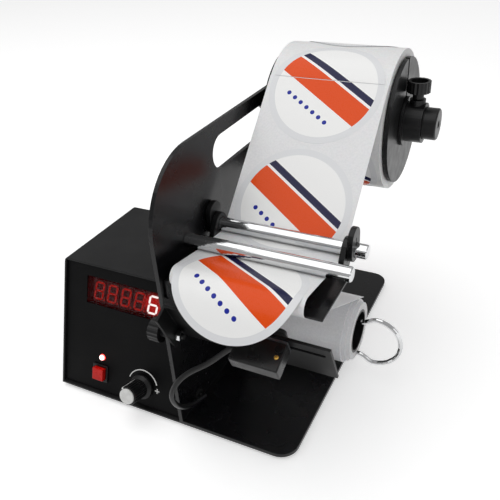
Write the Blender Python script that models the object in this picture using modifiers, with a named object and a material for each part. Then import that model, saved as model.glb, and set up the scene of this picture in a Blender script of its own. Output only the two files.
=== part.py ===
"""Label dispenser machine: a desk unit that peels round labels off a carrier web.

Metres, +Z up. Pieces are placed in the machine's own frame, held by the empty
machine_frame: x = 0 is the right face of the upright side plate, y = 0 its front edge
and z = 0 the table. The empty moves that frame so that the origin of the whole part is
the centre of its footprint, on the table.
"""
import math

import bmesh
import bpy
from mathutils import Matrix, Vector

MM = 0.001

# Driving dimensions of the sheet metal
SHEET = 3.0 * MM
FOOT_HEIGHT = 3.0 * MM
FOOT_RADIUS = 8.0 * MM
BASE_LENGTH = 253.0 * MM
BASE_WIDTH = 90.0 * MM
BASE_CORNER = 14.0 * MM
PLATE_HEIGHT = 212.4 * MM
PLATE_LEAN = 4.4 * MM
PLATE_FRONT_RADIUS = 50.0 * MM
PLATE_REAR_RADIUS = 40.0 * MM
HANDLE_LENGTH = 88.0 * MM
HANDLE_HEIGHT = 25.4 * MM
HANDLE_CENTRE_Y = 121.3 * MM
HANDLE_DROP = 23.1 * MM

# Driving dimensions of the control box
BOX_WIDTH = 115.7 * MM
BOX_HEIGHT = 104.2 * MM
BOX_TOP_FRONT = 34.0 * MM
BOX_DEPTH = 127.0 * MM
COVER_SHEET = 1.5 * MM
PANEL_SHEET = 2.0 * MM
PANEL_RECESS = 2.0 * MM

# Driving dimensions of the label path
ROD_RADIUS = 5.0 * MM
ROD_END = 118.3 * MM
FRONT_ROD_Y = 33.4 * MM
FRONT_ROD_Z = 146.4 * MM
REAR_ROD_Y = 66.7 * MM
REAR_ROD_Z = 143.5 * MM
PEEL_FRONT = 1.5 * MM
PEEL_DEPTH = 51.5 * MM
PEEL_TOP = 133.0 * MM
PEEL_SHEET = 2.0 * MM
PEEL_FLANGE = 15.0 * MM
PEEL_END = 111.3 * MM
PEEL_EDGE_SHARE = 0.3
WEB_LEFT = 9.5 * MM
WEB_WIDTH = 92.0 * MM
WEB_SHEET = 0.3 * MM
ARCH_Y = 1.5 * MM
ARCH_Z = 139.3 * MM
ARCH_RADIUS = 6.9 * MM
LABEL_RADIUS = 43.5 * MM
LABEL_REACH = 42.0 * MM
LABEL_DROOP = math.radians(60.0)
LABEL_DROOP_SHARES = (2.6, -1.6)

# Driving dimensions of the supply reel
SUPPLY_Y = 195.8 * MM
SUPPLY_Z = 188.0 * MM
SHAFT_RADIUS = 12.2 * MM
SHAFT_END = 132.0 * MM
SUPPLY_JOURNAL = 6.0 * MM
ROLL_RADIUS = 54.0 * MM
CORE_WALL = 3.4 * MM
FLANGE_RADIUS = 48.4 * MM
FLANGE_SHEET = 3.4 * MM
FLANGE_GAP = 0.8 * MM
FLANGE_SLOT = 3.2 * MM
COLLAR_RADIUS = 15.4 * MM
COLLAR_END = 121.5 * MM

# Driving dimensions of the backing rewind
REWIND_Y = 110.5 * MM
REWIND_Z = 41.0 * MM
DRUM_RADIUS = 17.7 * MM
DRUM_WALL = 1.7 * MM
DRUM_RECESS = 30.0 * MM
REWIND_SHAFT = 4.0 * MM
BACKING_RADIUS = 27.3 * MM
BACKING_END = 102.4 * MM
CLIP_WIRE = 1.9 * MM
CLIP_TILT = math.radians(-6.6)

# Driving dimensions of the sensor arm
ARM_Y = 3.8 * MM
ARM_Z = 85.5 * MM
ARM_LEAN = math.radians(25.0)
ARM_SHEET = 2.0 * MM
ARM_END = 118.5 * MM
ARM_TOP = 31.0 * MM
ARM_BOTTOM = 7.0 * MM
TAB_FRONT = 6.9 * MM
TAB_BACK = 4.4 * MM
SLOT_START = 50.0 * MM
SLOT_END = 114.5 * MM
SLOT_HEIGHT = 3.4 * MM
SENSOR_LENGTH = 33.0 * MM
SENSOR_DEPTH = 19.5 * MM
SENSOR_HEIGHT = 11.0 * MM
SENSOR_RIGHT = 92.0 * MM
CABLE_RADIUS = 1.9 * MM

# Fits and cuts
GAP = 0.3 * MM
RUNNING = 0.15 * MM
OVERRUN = 5.0 * MM
MERGE = 0.01 * MM

# Shapes of round pieces
SIDES = 48
SMALL_SIDES = 24
SIDEWAYS = (math.pi / 2, 0, math.pi / 2)
LENGTHWAYS = (math.pi / 2, 0, 0)

COLOURS = {
    "steel_black": ((0.028, 0.028, 0.030, 1.0), 0.45, 0.0),
    "cover_black": ((0.030, 0.030, 0.032, 1.0), 0.50, 0.0),
    "panel_black": ((0.010, 0.010, 0.010, 1.0), 0.55, 0.0),
    "plastic_black": ((0.020, 0.020, 0.021, 1.0), 0.40, 0.0),
    "rubber_black": ((0.015, 0.015, 0.015, 1.0), 0.80, 0.0),
    "chrome": ((0.75, 0.75, 0.76, 1.0), 0.12, 1.0),
    "zinc": ((0.60, 0.60, 0.60, 1.0), 0.35, 1.0),
    "steel_grey": ((0.35, 0.35, 0.36, 1.0), 0.40, 1.0),
    "paper_white": ((0.82, 0.82, 0.80, 1.0), 0.55, 0.0),
    "label_white": ((0.88, 0.88, 0.88, 1.0), 0.35, 0.0),
    "card_brown": ((0.42, 0.30, 0.18, 1.0), 0.80, 0.0),
    "window_red": ((0.10, 0.004, 0.004, 1.0), 0.15, 0.0),
    "signal_red": ((0.60, 0.010, 0.008, 1.0), 0.30, 0.0),
    "cap_white": ((0.80, 0.80, 0.78, 1.0), 0.40, 0.0),
    "board_green": ((0.020, 0.12, 0.045, 1.0), 0.50, 0.0),
    "copper": ((0.55, 0.25, 0.12, 1.0), 0.35, 1.0),
}


def clear_scene():
    for obj in list(bpy.data.objects):
        bpy.data.objects.remove(obj, do_unlink=True)


def collection(name):
    made = bpy.data.collections.new(name)
    bpy.context.scene.collection.children.link(made)
    return made


def material(name):
    made = bpy.data.materials.get(name)
    if made is None:
        colour, roughness, metallic = COLOURS[name]
        made = bpy.data.materials.new(name)
        made.use_nodes = True
        shader = made.node_tree.nodes["Principled BSDF"]
        shader.inputs["Base Color"].default_value = colour
        shader.inputs["Roughness"].default_value = roughness
        shader.inputs["Metallic"].default_value = metallic
        made.diffuse_color = colour
    return made


def settle(obj, name, look, parent, location=(0, 0, 0), rotation=(0, 0, 0)):
    """Name, colour, parent and collection of a new piece; look None makes it a cutter."""
    obj.name = name
    obj.data.name = name
    obj.parent = parent
    obj.location = location
    obj.rotation_euler = rotation
    for old in list(obj.users_collection):
        old.objects.unlink(obj)
    if look is None:
        CUTTERS.objects.link(obj)
        obj.hide_render = True
        obj.display_type = "WIRE"
    else:
        PARTS.objects.link(obj)
        obj.data.materials.clear()
        obj.data.materials.append(material(look))
    return obj


def empty(name, parent, location=(0, 0, 0), rotation=(0, 0, 0)):
    made = bpy.data.objects.new(name, None)
    PARTS.objects.link(made)
    made.parent = parent
    made.location = location
    made.rotation_euler = rotation
    return made


def box(name, low, high, look, parent):
    """A block between two corners, made from the unit cube."""
    bpy.ops.mesh.primitive_cube_add(size=1.0)
    obj = bpy.context.object
    low, high = Vector(low), Vector(high)
    obj.data.transform(Matrix.Diagonal((*(high - low), 1.0)))
    return settle(obj, name, look, parent, (low + high) / 2)


def cylinder(name, radius, start, end, look, parent, centre=(0, 0), turn=(0, 0, 0), sides=SIDES):
    """A cylinder from start to end along local Z, centred on two cross coordinates."""
    bpy.ops.mesh.primitive_cylinder_add(vertices=sides, radius=radius, depth=end - start)
    obj = bpy.context.object
    obj.data.transform(Matrix.Translation((centre[0], centre[1], (start + end) / 2)))
    return settle(obj, name, look, parent, rotation=turn)


def turned(name, profile, look, parent, turn=SIDEWAYS, sides=SIDES, location=(0, 0, 0)):
    """A turned piece from a closed profile of (radius, height) points; edges on the axis are left out."""
    mesh = bpy.data.meshes.new(name)
    points = [(radius, 0, height) for radius, height in profile]
    ring = [(i, (i + 1) % len(points)) for i in range(len(points))]
    edges = [(a, b) for a, b in ring if profile[a][0] > 0 or profile[b][0] > 0]
    mesh.from_pydata(points, edges, [])
    obj = bpy.data.objects.new(name, mesh)
    PARTS.objects.link(obj)
    settle(obj, name, look, parent, location, turn)
    screw = obj.modifiers.new("turn", "SCREW")
    screw.axis = "Z"
    screw.angle = 2 * math.pi
    screw.steps = sides
    screw.render_steps = sides
    screw.use_merge_vertices = True
    screw.merge_threshold = MERGE
    screw.use_normal_calculate = True
    return bake(obj)


def bake(obj):
    """Replace an object's data by its evaluated mesh, closed at the caps."""
    bpy.context.view_layer.update()
    evaluated = obj.evaluated_get(bpy.context.evaluated_depsgraph_get())
    mesh = bpy.data.meshes.new_from_object(evaluated)
    work = bmesh.new()
    work.from_mesh(mesh)
    bmesh.ops.remove_doubles(work, verts=work.verts, dist=MERGE)
    bmesh.ops.recalc_face_normals(work, faces=work.faces)
    work.to_mesh(mesh)
    work.free()
    made = bpy.data.objects.new(obj.name, mesh)
    for home in obj.users_collection:
        home.objects.link(made)
    made.parent = obj.parent
    made.location = obj.location
    made.rotation_euler = obj.rotation_euler
    made.hide_render = obj.hide_render
    made.display_type = obj.display_type
    name = obj.name
    bpy.data.objects.remove(obj, do_unlink=True)
    made.name = name
    mesh.name = name
    return made


def prism(name, outline, start, end, look, parent, turn=SIDEWAYS, location=(0, 0, 0)):
    """A flat outline filled and extruded from start to end along local Z."""
    curve = bpy.data.curves.new(name, "CURVE")
    curve.dimensions = "2D"
    curve.fill_mode = "BOTH"
    curve.extrude = (end - start) / 2
    spline = curve.splines.new("POLY")
    spline.points.add(len(outline) - 1)
    for point, (across, up) in zip(spline.points, outline):
        point.co = (across, up, 0, 1)
    spline.use_cyclic_u = True
    obj = bpy.data.objects.new(name, curve)
    PARTS.objects.link(obj)
    settle(obj, name, look, parent, location, turn)
    made = bake(obj)
    made.data.transform(Matrix.Translation((0, 0, (start + end) / 2)))
    return made


def tube(name, points, radius, look, parent, resolution=4):
    """A round wire through a list of points."""
    curve = bpy.data.curves.new(name, "CURVE")
    curve.dimensions = "3D"
    curve.bevel_depth = radius
    curve.bevel_resolution = resolution
    curve.use_fill_caps = True
    spline = curve.splines.new("POLY")
    spline.points.add(len(points) - 1)
    for point, place in zip(spline.points, points):
        point.co = (*place, 1)
    obj = bpy.data.objects.new(name, curve)
    PARTS.objects.link(obj)
    settle(obj, name, look, parent)
    return bake(obj)


def boolean(target, tool, operation="DIFFERENCE"):
    mod = target.modifiers.new(operation.lower(), "BOOLEAN")
    mod.operation = operation
    mod.solver = "EXACT"
    mod.object = tool
    return target


def apply(target):
    """Apply a piece's modifiers, so that later work reads plain faces."""
    return bake(target)


def join(target, *tools):
    """Union several shapes into the first, and remove them."""
    for tool in tools:
        boolean(target, tool, "UNION")
    made = apply(target)
    for tool in tools:
        bpy.data.objects.remove(tool, do_unlink=True)
    return made


def bevel(obj, width, segments=2, angle=math.radians(40)):
    mod = obj.modifiers.new("bevel", "BEVEL")
    mod.width = width
    mod.segments = segments
    mod.limit_method = "ANGLE"
    mod.angle_limit = angle
    return apply(obj)


def smooth(obj, angle=math.radians(35)):
    obj.data.shade_smooth()
    obj.data.set_sharp_from_angle(angle=angle)
    return obj


def arc(centre, radius, start, end, steps):
    """Points on an arc in a plane, both ends included; angles in radians."""
    turn = [start + (end - start) * i / steps for i in range(steps + 1)]
    return [(centre[0] + radius * math.cos(a), centre[1] + radius * math.sin(a)) for a in turn]


def round_slot(centre, length, height, steps=12):
    """Outline of a slot with round ends, lying along the first coordinate."""
    radius = height / 2
    reach = length / 2 - radius
    right = arc((centre[0] + reach, centre[1]), radius, -math.pi / 2, math.pi / 2, steps)
    left = arc((centre[0] - reach, centre[1]), radius, math.pi / 2, 3 * math.pi / 2, steps)
    return right + left


def hexagon(radius):
    return [(radius * math.cos(i * math.pi / 3), radius * math.sin(i * math.pi / 3)) for i in range(6)]


def belt(wheels):
    """Centre line of a web over wheels (y, z, radius, side): side 1 turns anticlockwise, -1 clockwise."""
    lines = []
    for (y1, z1, r1, s1), (y2, z2, r2, s2) in zip(wheels, wheels[1:]):
        span = math.hypot(y2 - y1, z2 - z1)
        along = math.atan2(z2 - z1, y2 - y1)
        lean = along + math.acos((s2 * r2 - s1 * r1) / span)
        ny, nz = math.cos(lean), math.sin(lean)
        lines.append(((y1 - ny * s1 * r1, z1 - nz * s1 * r1), (y2 - ny * s2 * r2, z2 - nz * s2 * r2)))
    return lines


def wrap(wheel, arrive, leave, steps=6):
    """Arc of the web round a wheel, from where it arrives to where it leaves."""
    y, z, radius, side = wheel
    start = math.atan2(arrive[1] - z, arrive[0] - y)
    end = math.atan2(leave[1] - z, leave[0] - y)
    if side > 0 and end < start:
        end += 2 * math.pi
    if side < 0 and end > start:
        end -= 2 * math.pi
    return arc((y, z), radius, start, end, steps)


def ribbon(path, thickness):
    """Closed outline of a strip that follows a path, half its thickness to each side."""
    left, right = [], []
    for i, (y, z) in enumerate(path):
        before, after = path[max(i - 1, 0)], path[min(i + 1, len(path) - 1)]
        heading = math.atan2(after[1] - before[1], after[0] - before[0])
        across = (-math.sin(heading) * thickness / 2, math.cos(heading) * thickness / 2)
        left.append((y + across[0], z + across[1]))
        right.append((y - across[0], z - across[1]))
    return left + right[::-1]


# Derived places in the machine's frame
BASE_TOP = FOOT_HEIGHT + SHEET
PLATE_TOP = FOOT_HEIGHT + PLATE_HEIGHT
HANDLE_Z = PLATE_TOP - HANDLE_DROP
BOX_TOP = FOOT_HEIGHT + BOX_HEIGHT
BOX_RIGHT = -SHEET - GAP
BOX_LEFT = -SHEET - BOX_WIDTH
PANEL_TILT = math.atan2(BOX_TOP_FRONT, BOX_HEIGHT)
SUPPLY = (SUPPLY_Y, FOOT_HEIGHT + SUPPLY_Z)
REWIND = (REWIND_Y, FOOT_HEIGHT + REWIND_Z)
FRONT_ROD = (FRONT_ROD_Y, FOOT_HEIGHT + FRONT_ROD_Z)
REAR_ROD = (REAR_ROD_Y, FOOT_HEIGHT + REAR_ROD_Z)
PEEL_Z = FOOT_HEIGHT + PEEL_TOP
ARM = (ARM_Y, FOOT_HEIGHT + ARM_Z)
WEB_RIGHT = WEB_LEFT + WEB_WIDTH
CLIP_END = 139.0 * MM

clear_scene()
PARTS = collection("label_dispenser")
CUTTERS = collection("cutters")
MACHINE = empty("machine_frame", None)

# Fasteners of the peel plate, the gearbox and the reel bearing
PEEL_SCREW = 2.0 * MM
PEEL_SCREW_HEAD = 3.8 * MM
PEEL_SCREW_HEAD_HEIGHT = 2.4 * MM
PEEL_SCREW_STANDS = 1.5 * MM
PEEL_SCREW_Y_SHARES = (0.25, 0.75)
ROD_SPIGOT = 3.0 * MM
RIVET_RADIUS = 5.0 * MM
RIVET_HEIGHT = 2.0 * MM
RIVET_DOME_SHARE = 0.6
BEARING_RADIUS = 11.0 * MM
BEARING_FLANGE = 16.0 * MM
BEARING_FLANGE_SHEET = 2.5 * MM
BUSH_RADIUS = 7.5 * MM
BUSH_FLANGE = 11.0 * MM
BUSH_FLANGE_SHEET = 2.0 * MM
GROMMET_Y = 24.7 * MM
GROMMET_Z = 13.0 * MM
GROMMET_HOLE = 3.4 * MM
GROMMET_FLANGE = 4.8 * MM
GROMMET_FLANGE_SHEET = 1.4 * MM
ARM_SCREW = 2.0 * MM
PEEL_SCREW_Z = PEEL_Z - PEEL_SHEET - (PEEL_FLANGE - PEEL_SHEET) / 2


def peel_screw_places():
    return [PEEL_FRONT + PEEL_DEPTH * share for share in PEEL_SCREW_Y_SHARES]


# Gearbox and motor, in the box behind the side plate
GEARBOX_OFFSET = 11.5 * MM
GEARBOX_HALF = 22.0 * MM
GEARBOX_THICK = 24.0 * MM
MOTOR_RADIUS = 16.0 * MM
MOTOR_LENGTH = 44.0 * MM
MOTOR_CAP = 6.0 * MM
MOTOR_CAP_RADIUS = 7.0 * MM


def make_chassis():
    """The upright side plate and the base plate, one sheet bent in an L."""
    top = arc((PLATE_FRONT_RADIUS - PLATE_LEAN, PLATE_TOP - PLATE_FRONT_RADIUS), PLATE_FRONT_RADIUS,
              math.pi, math.pi / 2, 14)
    rear = arc((BASE_LENGTH - PLATE_REAR_RADIUS, PLATE_TOP - PLATE_REAR_RADIUS), PLATE_REAR_RADIUS,
               math.pi / 2, 0, 14)
    upright = [(0, FOOT_HEIGHT)] + top + rear + [(BASE_LENGTH, FOOT_HEIGHT)]
    chassis = prism("chassis", upright[::-1], -SHEET, 0, "steel_black", MACHINE)
    inset = BASE_WIDTH - BASE_CORNER
    front = arc((inset, BASE_CORNER), BASE_CORNER, -math.pi / 2, 0, 8)
    back = arc((inset, BASE_LENGTH - BASE_CORNER), BASE_CORNER, 0, math.pi / 2, 8)
    floor = [(-SHEET / 2, 0)] + front + back + [(-SHEET / 2, BASE_LENGTH)]
    base = prism("base", floor, FOOT_HEIGHT, BASE_TOP, "steel_black", MACHINE, turn=(0, 0, 0))
    chassis = join(chassis, base)
    slot = round_slot((HANDLE_CENTRE_Y, HANDLE_Z), HANDLE_LENGTH, HANDLE_HEIGHT)
    boolean(chassis, prism("handle_slot_cut", slot, -SHEET - OVERRUN, OVERRUN, None, MACHINE))
    holes = [("bearing", SUPPLY, BEARING_RADIUS + GAP), ("bush", REWIND, BUSH_RADIUS + GAP),
             ("front_rod", FRONT_ROD, ROD_SPIGOT + GAP), ("rear_rod", REAR_ROD, ROD_SPIGOT + GAP),
             ("grommet", (GROMMET_Y, GROMMET_Z), GROMMET_HOLE + GAP), ("arm", ARM, ARM_SCREW + GAP)]
    holes += [(f"peel_{i}", (y, PEEL_SCREW_Z), PEEL_SCREW + GAP) for i, y in enumerate(peel_screw_places())]
    for name, place, radius in holes:
        boolean(chassis, cylinder(f"{name}_hole_cut", radius, -SHEET - OVERRUN, OVERRUN, None, MACHINE,
                                  centre=place, turn=SIDEWAYS, sides=SMALL_SIDES))
    return apply(chassis)


def make_feet():
    inset = FOOT_RADIUS * FOOT_INSET_SHARE
    right = BASE_WIDTH - inset
    left = BOX_LEFT + inset
    places = [(right, inset), (right, BASE_LENGTH - inset), (left, inset), (left, BOX_DEPTH - inset)]
    for i, place in enumerate(places, 1):
        ring = [(FOOT_RADIUS, FOOT_HEIGHT - GAP), (FOOT_RADIUS * FOOT_TAPER_SHARE, 0), (0, 0),
                (0, FOOT_HEIGHT - GAP)]
        smooth(turned(f"foot_{i}", ring, "rubber_black", MACHINE, turn=(0, 0, 0), sides=SMALL_SIDES,
                      location=(*place, 0)))


FOOT_TAPER_SHARE = 0.9
FOOT_INSET_SHARE = 1.6


def panel_line(height, inset):
    """Depth of the sloping front at a height over the box's bottom, moved in square to itself."""
    return height * math.tan(PANEL_TILT) + inset / math.cos(PANEL_TILT)


COVER_BEND = 3.0 * MM
COVER_SCREW = 1.5 * MM
COVER_SCREW_HEAD = 3.0 * MM
COVER_SCREW_HEAD_HEIGHT = 1.8 * MM
COVER_SCREW_Y_SHARES = (0.25, 0.80)
FLOOR_FLANGE = 14.0 * MM
COVER_SCREW_UP_SHARE = 0.6
COVER_SCREW_Z = FOOT_HEIGHT + FLOOR_FLANGE * COVER_SCREW_UP_SHARE


def make_cover():
    """The box's cover: the left wall and the top, bent from one thin sheet."""
    sides = [(0, FOOT_HEIGHT), (BOX_DEPTH, FOOT_HEIGHT), (BOX_DEPTH, BOX_TOP), (BOX_TOP_FRONT, BOX_TOP)]
    cover = prism("box_cover", sides, BOX_LEFT, BOX_RIGHT, "cover_black", MACHINE)
    cover = round_edge(cover, COVER_BEND)
    inner_top = BOX_TOP - COVER_SHEET
    reach = panel_line(BOX_HEIGHT, 0)
    hollow = [(-reach, FOOT_HEIGHT - OVERRUN), (BOX_DEPTH + OVERRUN, FOOT_HEIGHT - OVERRUN),
              (BOX_DEPTH + OVERRUN, inner_top), (-reach, inner_top)]
    inner = prism("cover_hollow_cut", hollow, BOX_LEFT + COVER_SHEET, OVERRUN, None, MACHINE)
    boolean(cover, inner)
    for i, share in enumerate(COVER_SCREW_Y_SHARES):
        boolean(cover, cylinder(f"cover_screw_cut_{i}", COVER_SCREW + GAP, BOX_LEFT - OVERRUN,
                                BOX_LEFT + OVERRUN, None, MACHINE,
                                centre=(BOX_DEPTH * share, COVER_SCREW_Z), turn=SIDEWAYS,
                                sides=SMALL_SIDES))
    return apply(cover)


def round_edge(obj, width, segments=4):
    """Round the one long edge where the cover's top meets its left wall."""
    work = bmesh.new()
    work.from_mesh(obj.data)
    edges = []
    for edge in work.edges:
        ends = [v.co for v in edge.verts]
        at_left = all(abs(p.z - BOX_LEFT) < MERGE for p in ends)
        at_top = all(abs(p.y - BOX_TOP) < MERGE for p in ends)
        if at_left and at_top:
            edges.append(edge)
    bmesh.ops.bevel(work, geom=edges, offset=width, segments=segments, profile=0.5, affect="EDGES")
    work.to_mesh(obj.data)
    work.free()
    return obj


def make_box_floor():
    """The box's floor tray, with a low flange that the cover is screwed to."""
    left = BOX_LEFT + COVER_SHEET + GAP
    floor = box("box_floor", (left, 0, FOOT_HEIGHT), (BOX_RIGHT, BOX_DEPTH, FOOT_HEIGHT + COVER_SHEET),
                "cover_black", MACHINE)
    lip_front = panel_line(FLOOR_FLANGE, PANEL_RECESS + PANEL_SHEET + GAP)
    lip = box("floor_lip", (left, lip_front, FOOT_HEIGHT + COVER_SHEET / 2),
              (left + COVER_SHEET, BOX_DEPTH - REAR_RECESS - PANEL_SHEET - GAP, FOOT_HEIGHT + FLOOR_FLANGE),
              "cover_black", MACHINE)
    floor = join(floor, lip)
    for i, share in enumerate(COVER_SCREW_Y_SHARES):
        boolean(floor, cylinder(f"floor_screw_cut_{i}", COVER_SCREW + GAP, BOX_LEFT - OVERRUN,
                                BOX_LEFT + OVERRUN, None, MACHINE,
                                centre=(BOX_DEPTH * share, COVER_SCREW_Z), turn=SIDEWAYS,
                                sides=SMALL_SIDES))
    return apply(floor)


REAR_RECESS = 2.0 * MM
COVER_SCREW_LENGTH = 6.0 * MM


def make_cover_screws():
    for i, share in enumerate(COVER_SCREW_Y_SHARES, 1):
        smooth(pan_screw(f"cover_screw_{i}", COVER_SCREW, COVER_SCREW_HEAD, COVER_SCREW_HEAD_HEIGHT,
                         COVER_SCREW_LENGTH, MACHINE, (BOX_LEFT, BOX_DEPTH * share, COVER_SCREW_Z), -1))


def pan_screw(name, radius, head, head_height, length, parent, place, side, sides=16, look="steel_grey"):
    """A pan-head screw along X: its head seats at place, on the side given, and its shank runs inward."""
    seat = GAP
    dome = head * RIVET_DOME_SHARE
    profile = [(radius, -length), (radius, seat), (head, seat), (head, seat + head_height / 2),
               (dome, seat + head_height), (0, seat + head_height), (0, -length)]
    obj = turned(name, profile[::-1], look, parent, turn=SIDEWAYS, sides=sides)
    if side < 0:
        obj.data.transform(Matrix.Rotation(math.pi, 4, "X"))
    obj.location = place
    return obj


PANEL = empty("panel_frame", MACHINE, (0, PANEL_RECESS / math.cos(PANEL_TILT), FOOT_HEIGHT),
              (math.pi / 2 - PANEL_TILT, 0, 0))
PANEL_BOTTOM = COVER_SHEET / math.cos(PANEL_TILT) + PANEL_SHEET * math.tan(PANEL_TILT) + GAP
PANEL_TOP = (BOX_HEIGHT - COVER_SHEET) / math.cos(PANEL_TILT) - GAP

# Controls on the front panel, in its own plane
WINDOW_LEFT = -97.0 * MM
WINDOW_RIGHT = -25.5 * MM
WINDOW_LOW = 75.5 * MM
WINDOW_HIGH = 97.6 * MM
WINDOW_CORNER = 1.0 * MM
DIGIT_PITCH = 12.7 * MM
DIGIT_HEIGHT = 19.0 * MM
DIGIT_DEPTH = 8.0 * MM
DIGIT_COUNT = 5
DIGIT_MARGIN = 4.0 * MM
LED_X = -79.8 * MM
LED_UP = 31.9 * MM
LED_RADIUS = 2.5 * MM
LED_FLANGE = 3.0 * MM
LED_STANDS = 2.6 * MM
LED_DEPTH = 6.0 * MM
BUTTON_X = -80.7 * MM
BUTTON_UP = 18.4 * MM
BUTTON_BEZEL = 14.4 * MM
BUTTON_BEZEL_STANDS = 1.5 * MM
BUTTON_BODY = 12.6 * MM
BUTTON_BODY_DEPTH = 18.0 * MM
BUTTON_CAP = 10.2 * MM
BUTTON_STANDS = 5.0 * MM
BUTTON_TRAVEL = 2.5 * MM
BUTTON_STEM = 12.0 * MM
KNOB_X = -39.9 * MM
KNOB_UP = 18.6 * MM
KNOB_SKIRT = 10.0 * MM
KNOB_SKIRT_HEIGHT = 4.0 * MM
KNOB_BODY = 7.6 * MM
KNOB_LENGTH = 20.5 * MM
KNOB_CAP = 6.2 * MM
KNOB_CAP_HEIGHT = 1.4 * MM
KNOB_LIFT = 1.0 * MM
KNOB_RIBS = 24
KNOB_RIB_DEPTH = 0.5 * MM
POT_RADIUS = 8.4 * MM
POT_DEPTH = 9.0 * MM
POT_BUSHING = 3.5 * MM
POT_BUSHING_STANDS = 5.0 * MM
POT_SHAFT = 3.0 * MM
POT_SHAFT_STANDS = 12.0 * MM
POT_NUT = 5.5 * MM
POT_NUT_HEIGHT = 2.0 * MM
BOARD = 1.6 * MM


def make_front_panel():
    left = BOX_LEFT + COVER_SHEET + GAP
    panel = box("front_panel", (left, PANEL_BOTTOM, -PANEL_SHEET), (BOX_RIGHT, PANEL_TOP, 0),
                "panel_black", PANEL)
    deep, out = -PANEL_SHEET - OVERRUN, OVERRUN
    boolean(panel, box("window_cut", (WINDOW_LEFT - GAP, WINDOW_LOW - GAP, deep),
                       (WINDOW_RIGHT + GAP, WINDOW_HIGH + GAP, out), None, PANEL))
    half = BUTTON_BODY / 2 + GAP
    boolean(panel, box("button_cut", (BUTTON_X - half, BUTTON_UP - half, deep),
                       (BUTTON_X + half, BUTTON_UP + half, out), None, PANEL))
    for name, centre, radius in (("led_cut", (LED_X, LED_UP), LED_RADIUS + GAP),
                                 ("pot_cut", (KNOB_X, KNOB_UP), POT_BUSHING + GAP)):
        boolean(panel, cylinder(name, radius, deep, out, None, PANEL, centre=centre, sides=SMALL_SIDES))
    return apply(panel)


def make_display():
    """The red window, the five digits behind it and the board that carries them."""
    window = box("display_window", (WINDOW_LEFT, WINDOW_LOW, -PANEL_SHEET), (WINDOW_RIGHT, WINDOW_HIGH, -GAP),
                 "window_red", PANEL)
    bevel(window, GAP / 2, 1)
    face = -PANEL_SHEET - GAP
    middle = WINDOW_LEFT + DIGIT_MARGIN + DIGIT_COUNT * DIGIT_PITCH / 2
    rise = (WINDOW_LOW + WINDOW_HIGH) / 2
    back = face - DIGIT_DEPTH
    reach = DIGIT_COUNT * DIGIT_PITCH / 2 + BOARD_MARGIN
    digits = []
    for i in range(DIGIT_COUNT):
        across = middle + (i - (DIGIT_COUNT - 1) / 2) * DIGIT_PITCH
        half = DIGIT_PITCH / 2 - GAP
        digits.append(box(f"digit_{i}", (across - half, rise - DIGIT_HEIGHT / 2, back - BOARD / 2),
                          (across + half, rise + DIGIT_HEIGHT / 2, face), "window_red", PANEL))
    board = box("digit_display", (middle - reach, rise - DIGIT_HEIGHT / 2 - BOARD_MARGIN, back - BOARD),
                (middle + reach, rise + DIGIT_HEIGHT / 2 + GAP, back), "window_red", PANEL)
    join(board, *digits)


BOARD_MARGIN = 2.5 * MM


def make_led():
    dome = arc((0, 0), LED_RADIUS, math.pi / 2, 0, 5)
    top = LED_STANDS - LED_RADIUS
    profile = [(x, top + z) for x, z in dome]
    base = -PANEL_SHEET - GAP
    profile = profile + [(LED_RADIUS, base), (LED_FLANGE, base), (LED_FLANGE, base - LED_DEPTH),
                         (0, base - LED_DEPTH)]
    profile[0] = (0, LED_STANDS)
    return smooth(turned("status_led", profile, "signal_red", PANEL, turn=(0, 0, 0), sides=SMALL_SIDES,
                         location=(LED_X, LED_UP, 0)))


def make_button():
    """A square push switch: its black bezel and body, and the red cap that travels in it."""
    half, body = BUTTON_BEZEL / 2, BUTTON_BODY / 2
    bezel = box("button_bezel", (BUTTON_X - half, BUTTON_UP - half, GAP),
                (BUTTON_X + half, BUTTON_UP + half, BUTTON_BEZEL_STANDS), "plastic_black", PANEL)
    bezel = bevel(bezel, BUTTON_BEZEL_STANDS / 3)
    housing = box("button_housing", (BUTTON_X - body, BUTTON_UP - body, -BUTTON_BODY_DEPTH),
                  (BUTTON_X + body, BUTTON_UP + body, BUTTON_BEZEL_STANDS / 2), "plastic_black", PANEL)
    bezel = join(bezel, housing)
    well = BUTTON_CAP / 2 + GAP
    floor = -BUTTON_STEM - BUTTON_TRAVEL - GAP
    boolean(bezel, box("button_well_cut", (BUTTON_X - well, BUTTON_UP - well, floor),
                       (BUTTON_X + well, BUTTON_UP + well, OVERRUN), None, PANEL))
    apply(bezel)
    cap = BUTTON_CAP / 2
    carrier = empty("button_axis", PANEL, (BUTTON_X, BUTTON_UP, 0))
    bevel(box("button_cap", (-cap, -cap, -BUTTON_STEM), (cap, cap, BUTTON_STANDS), "signal_red", carrier),
          BUTTON_CAP_EDGE)


BUTTON_CAP_EDGE = 0.5 * MM


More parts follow.
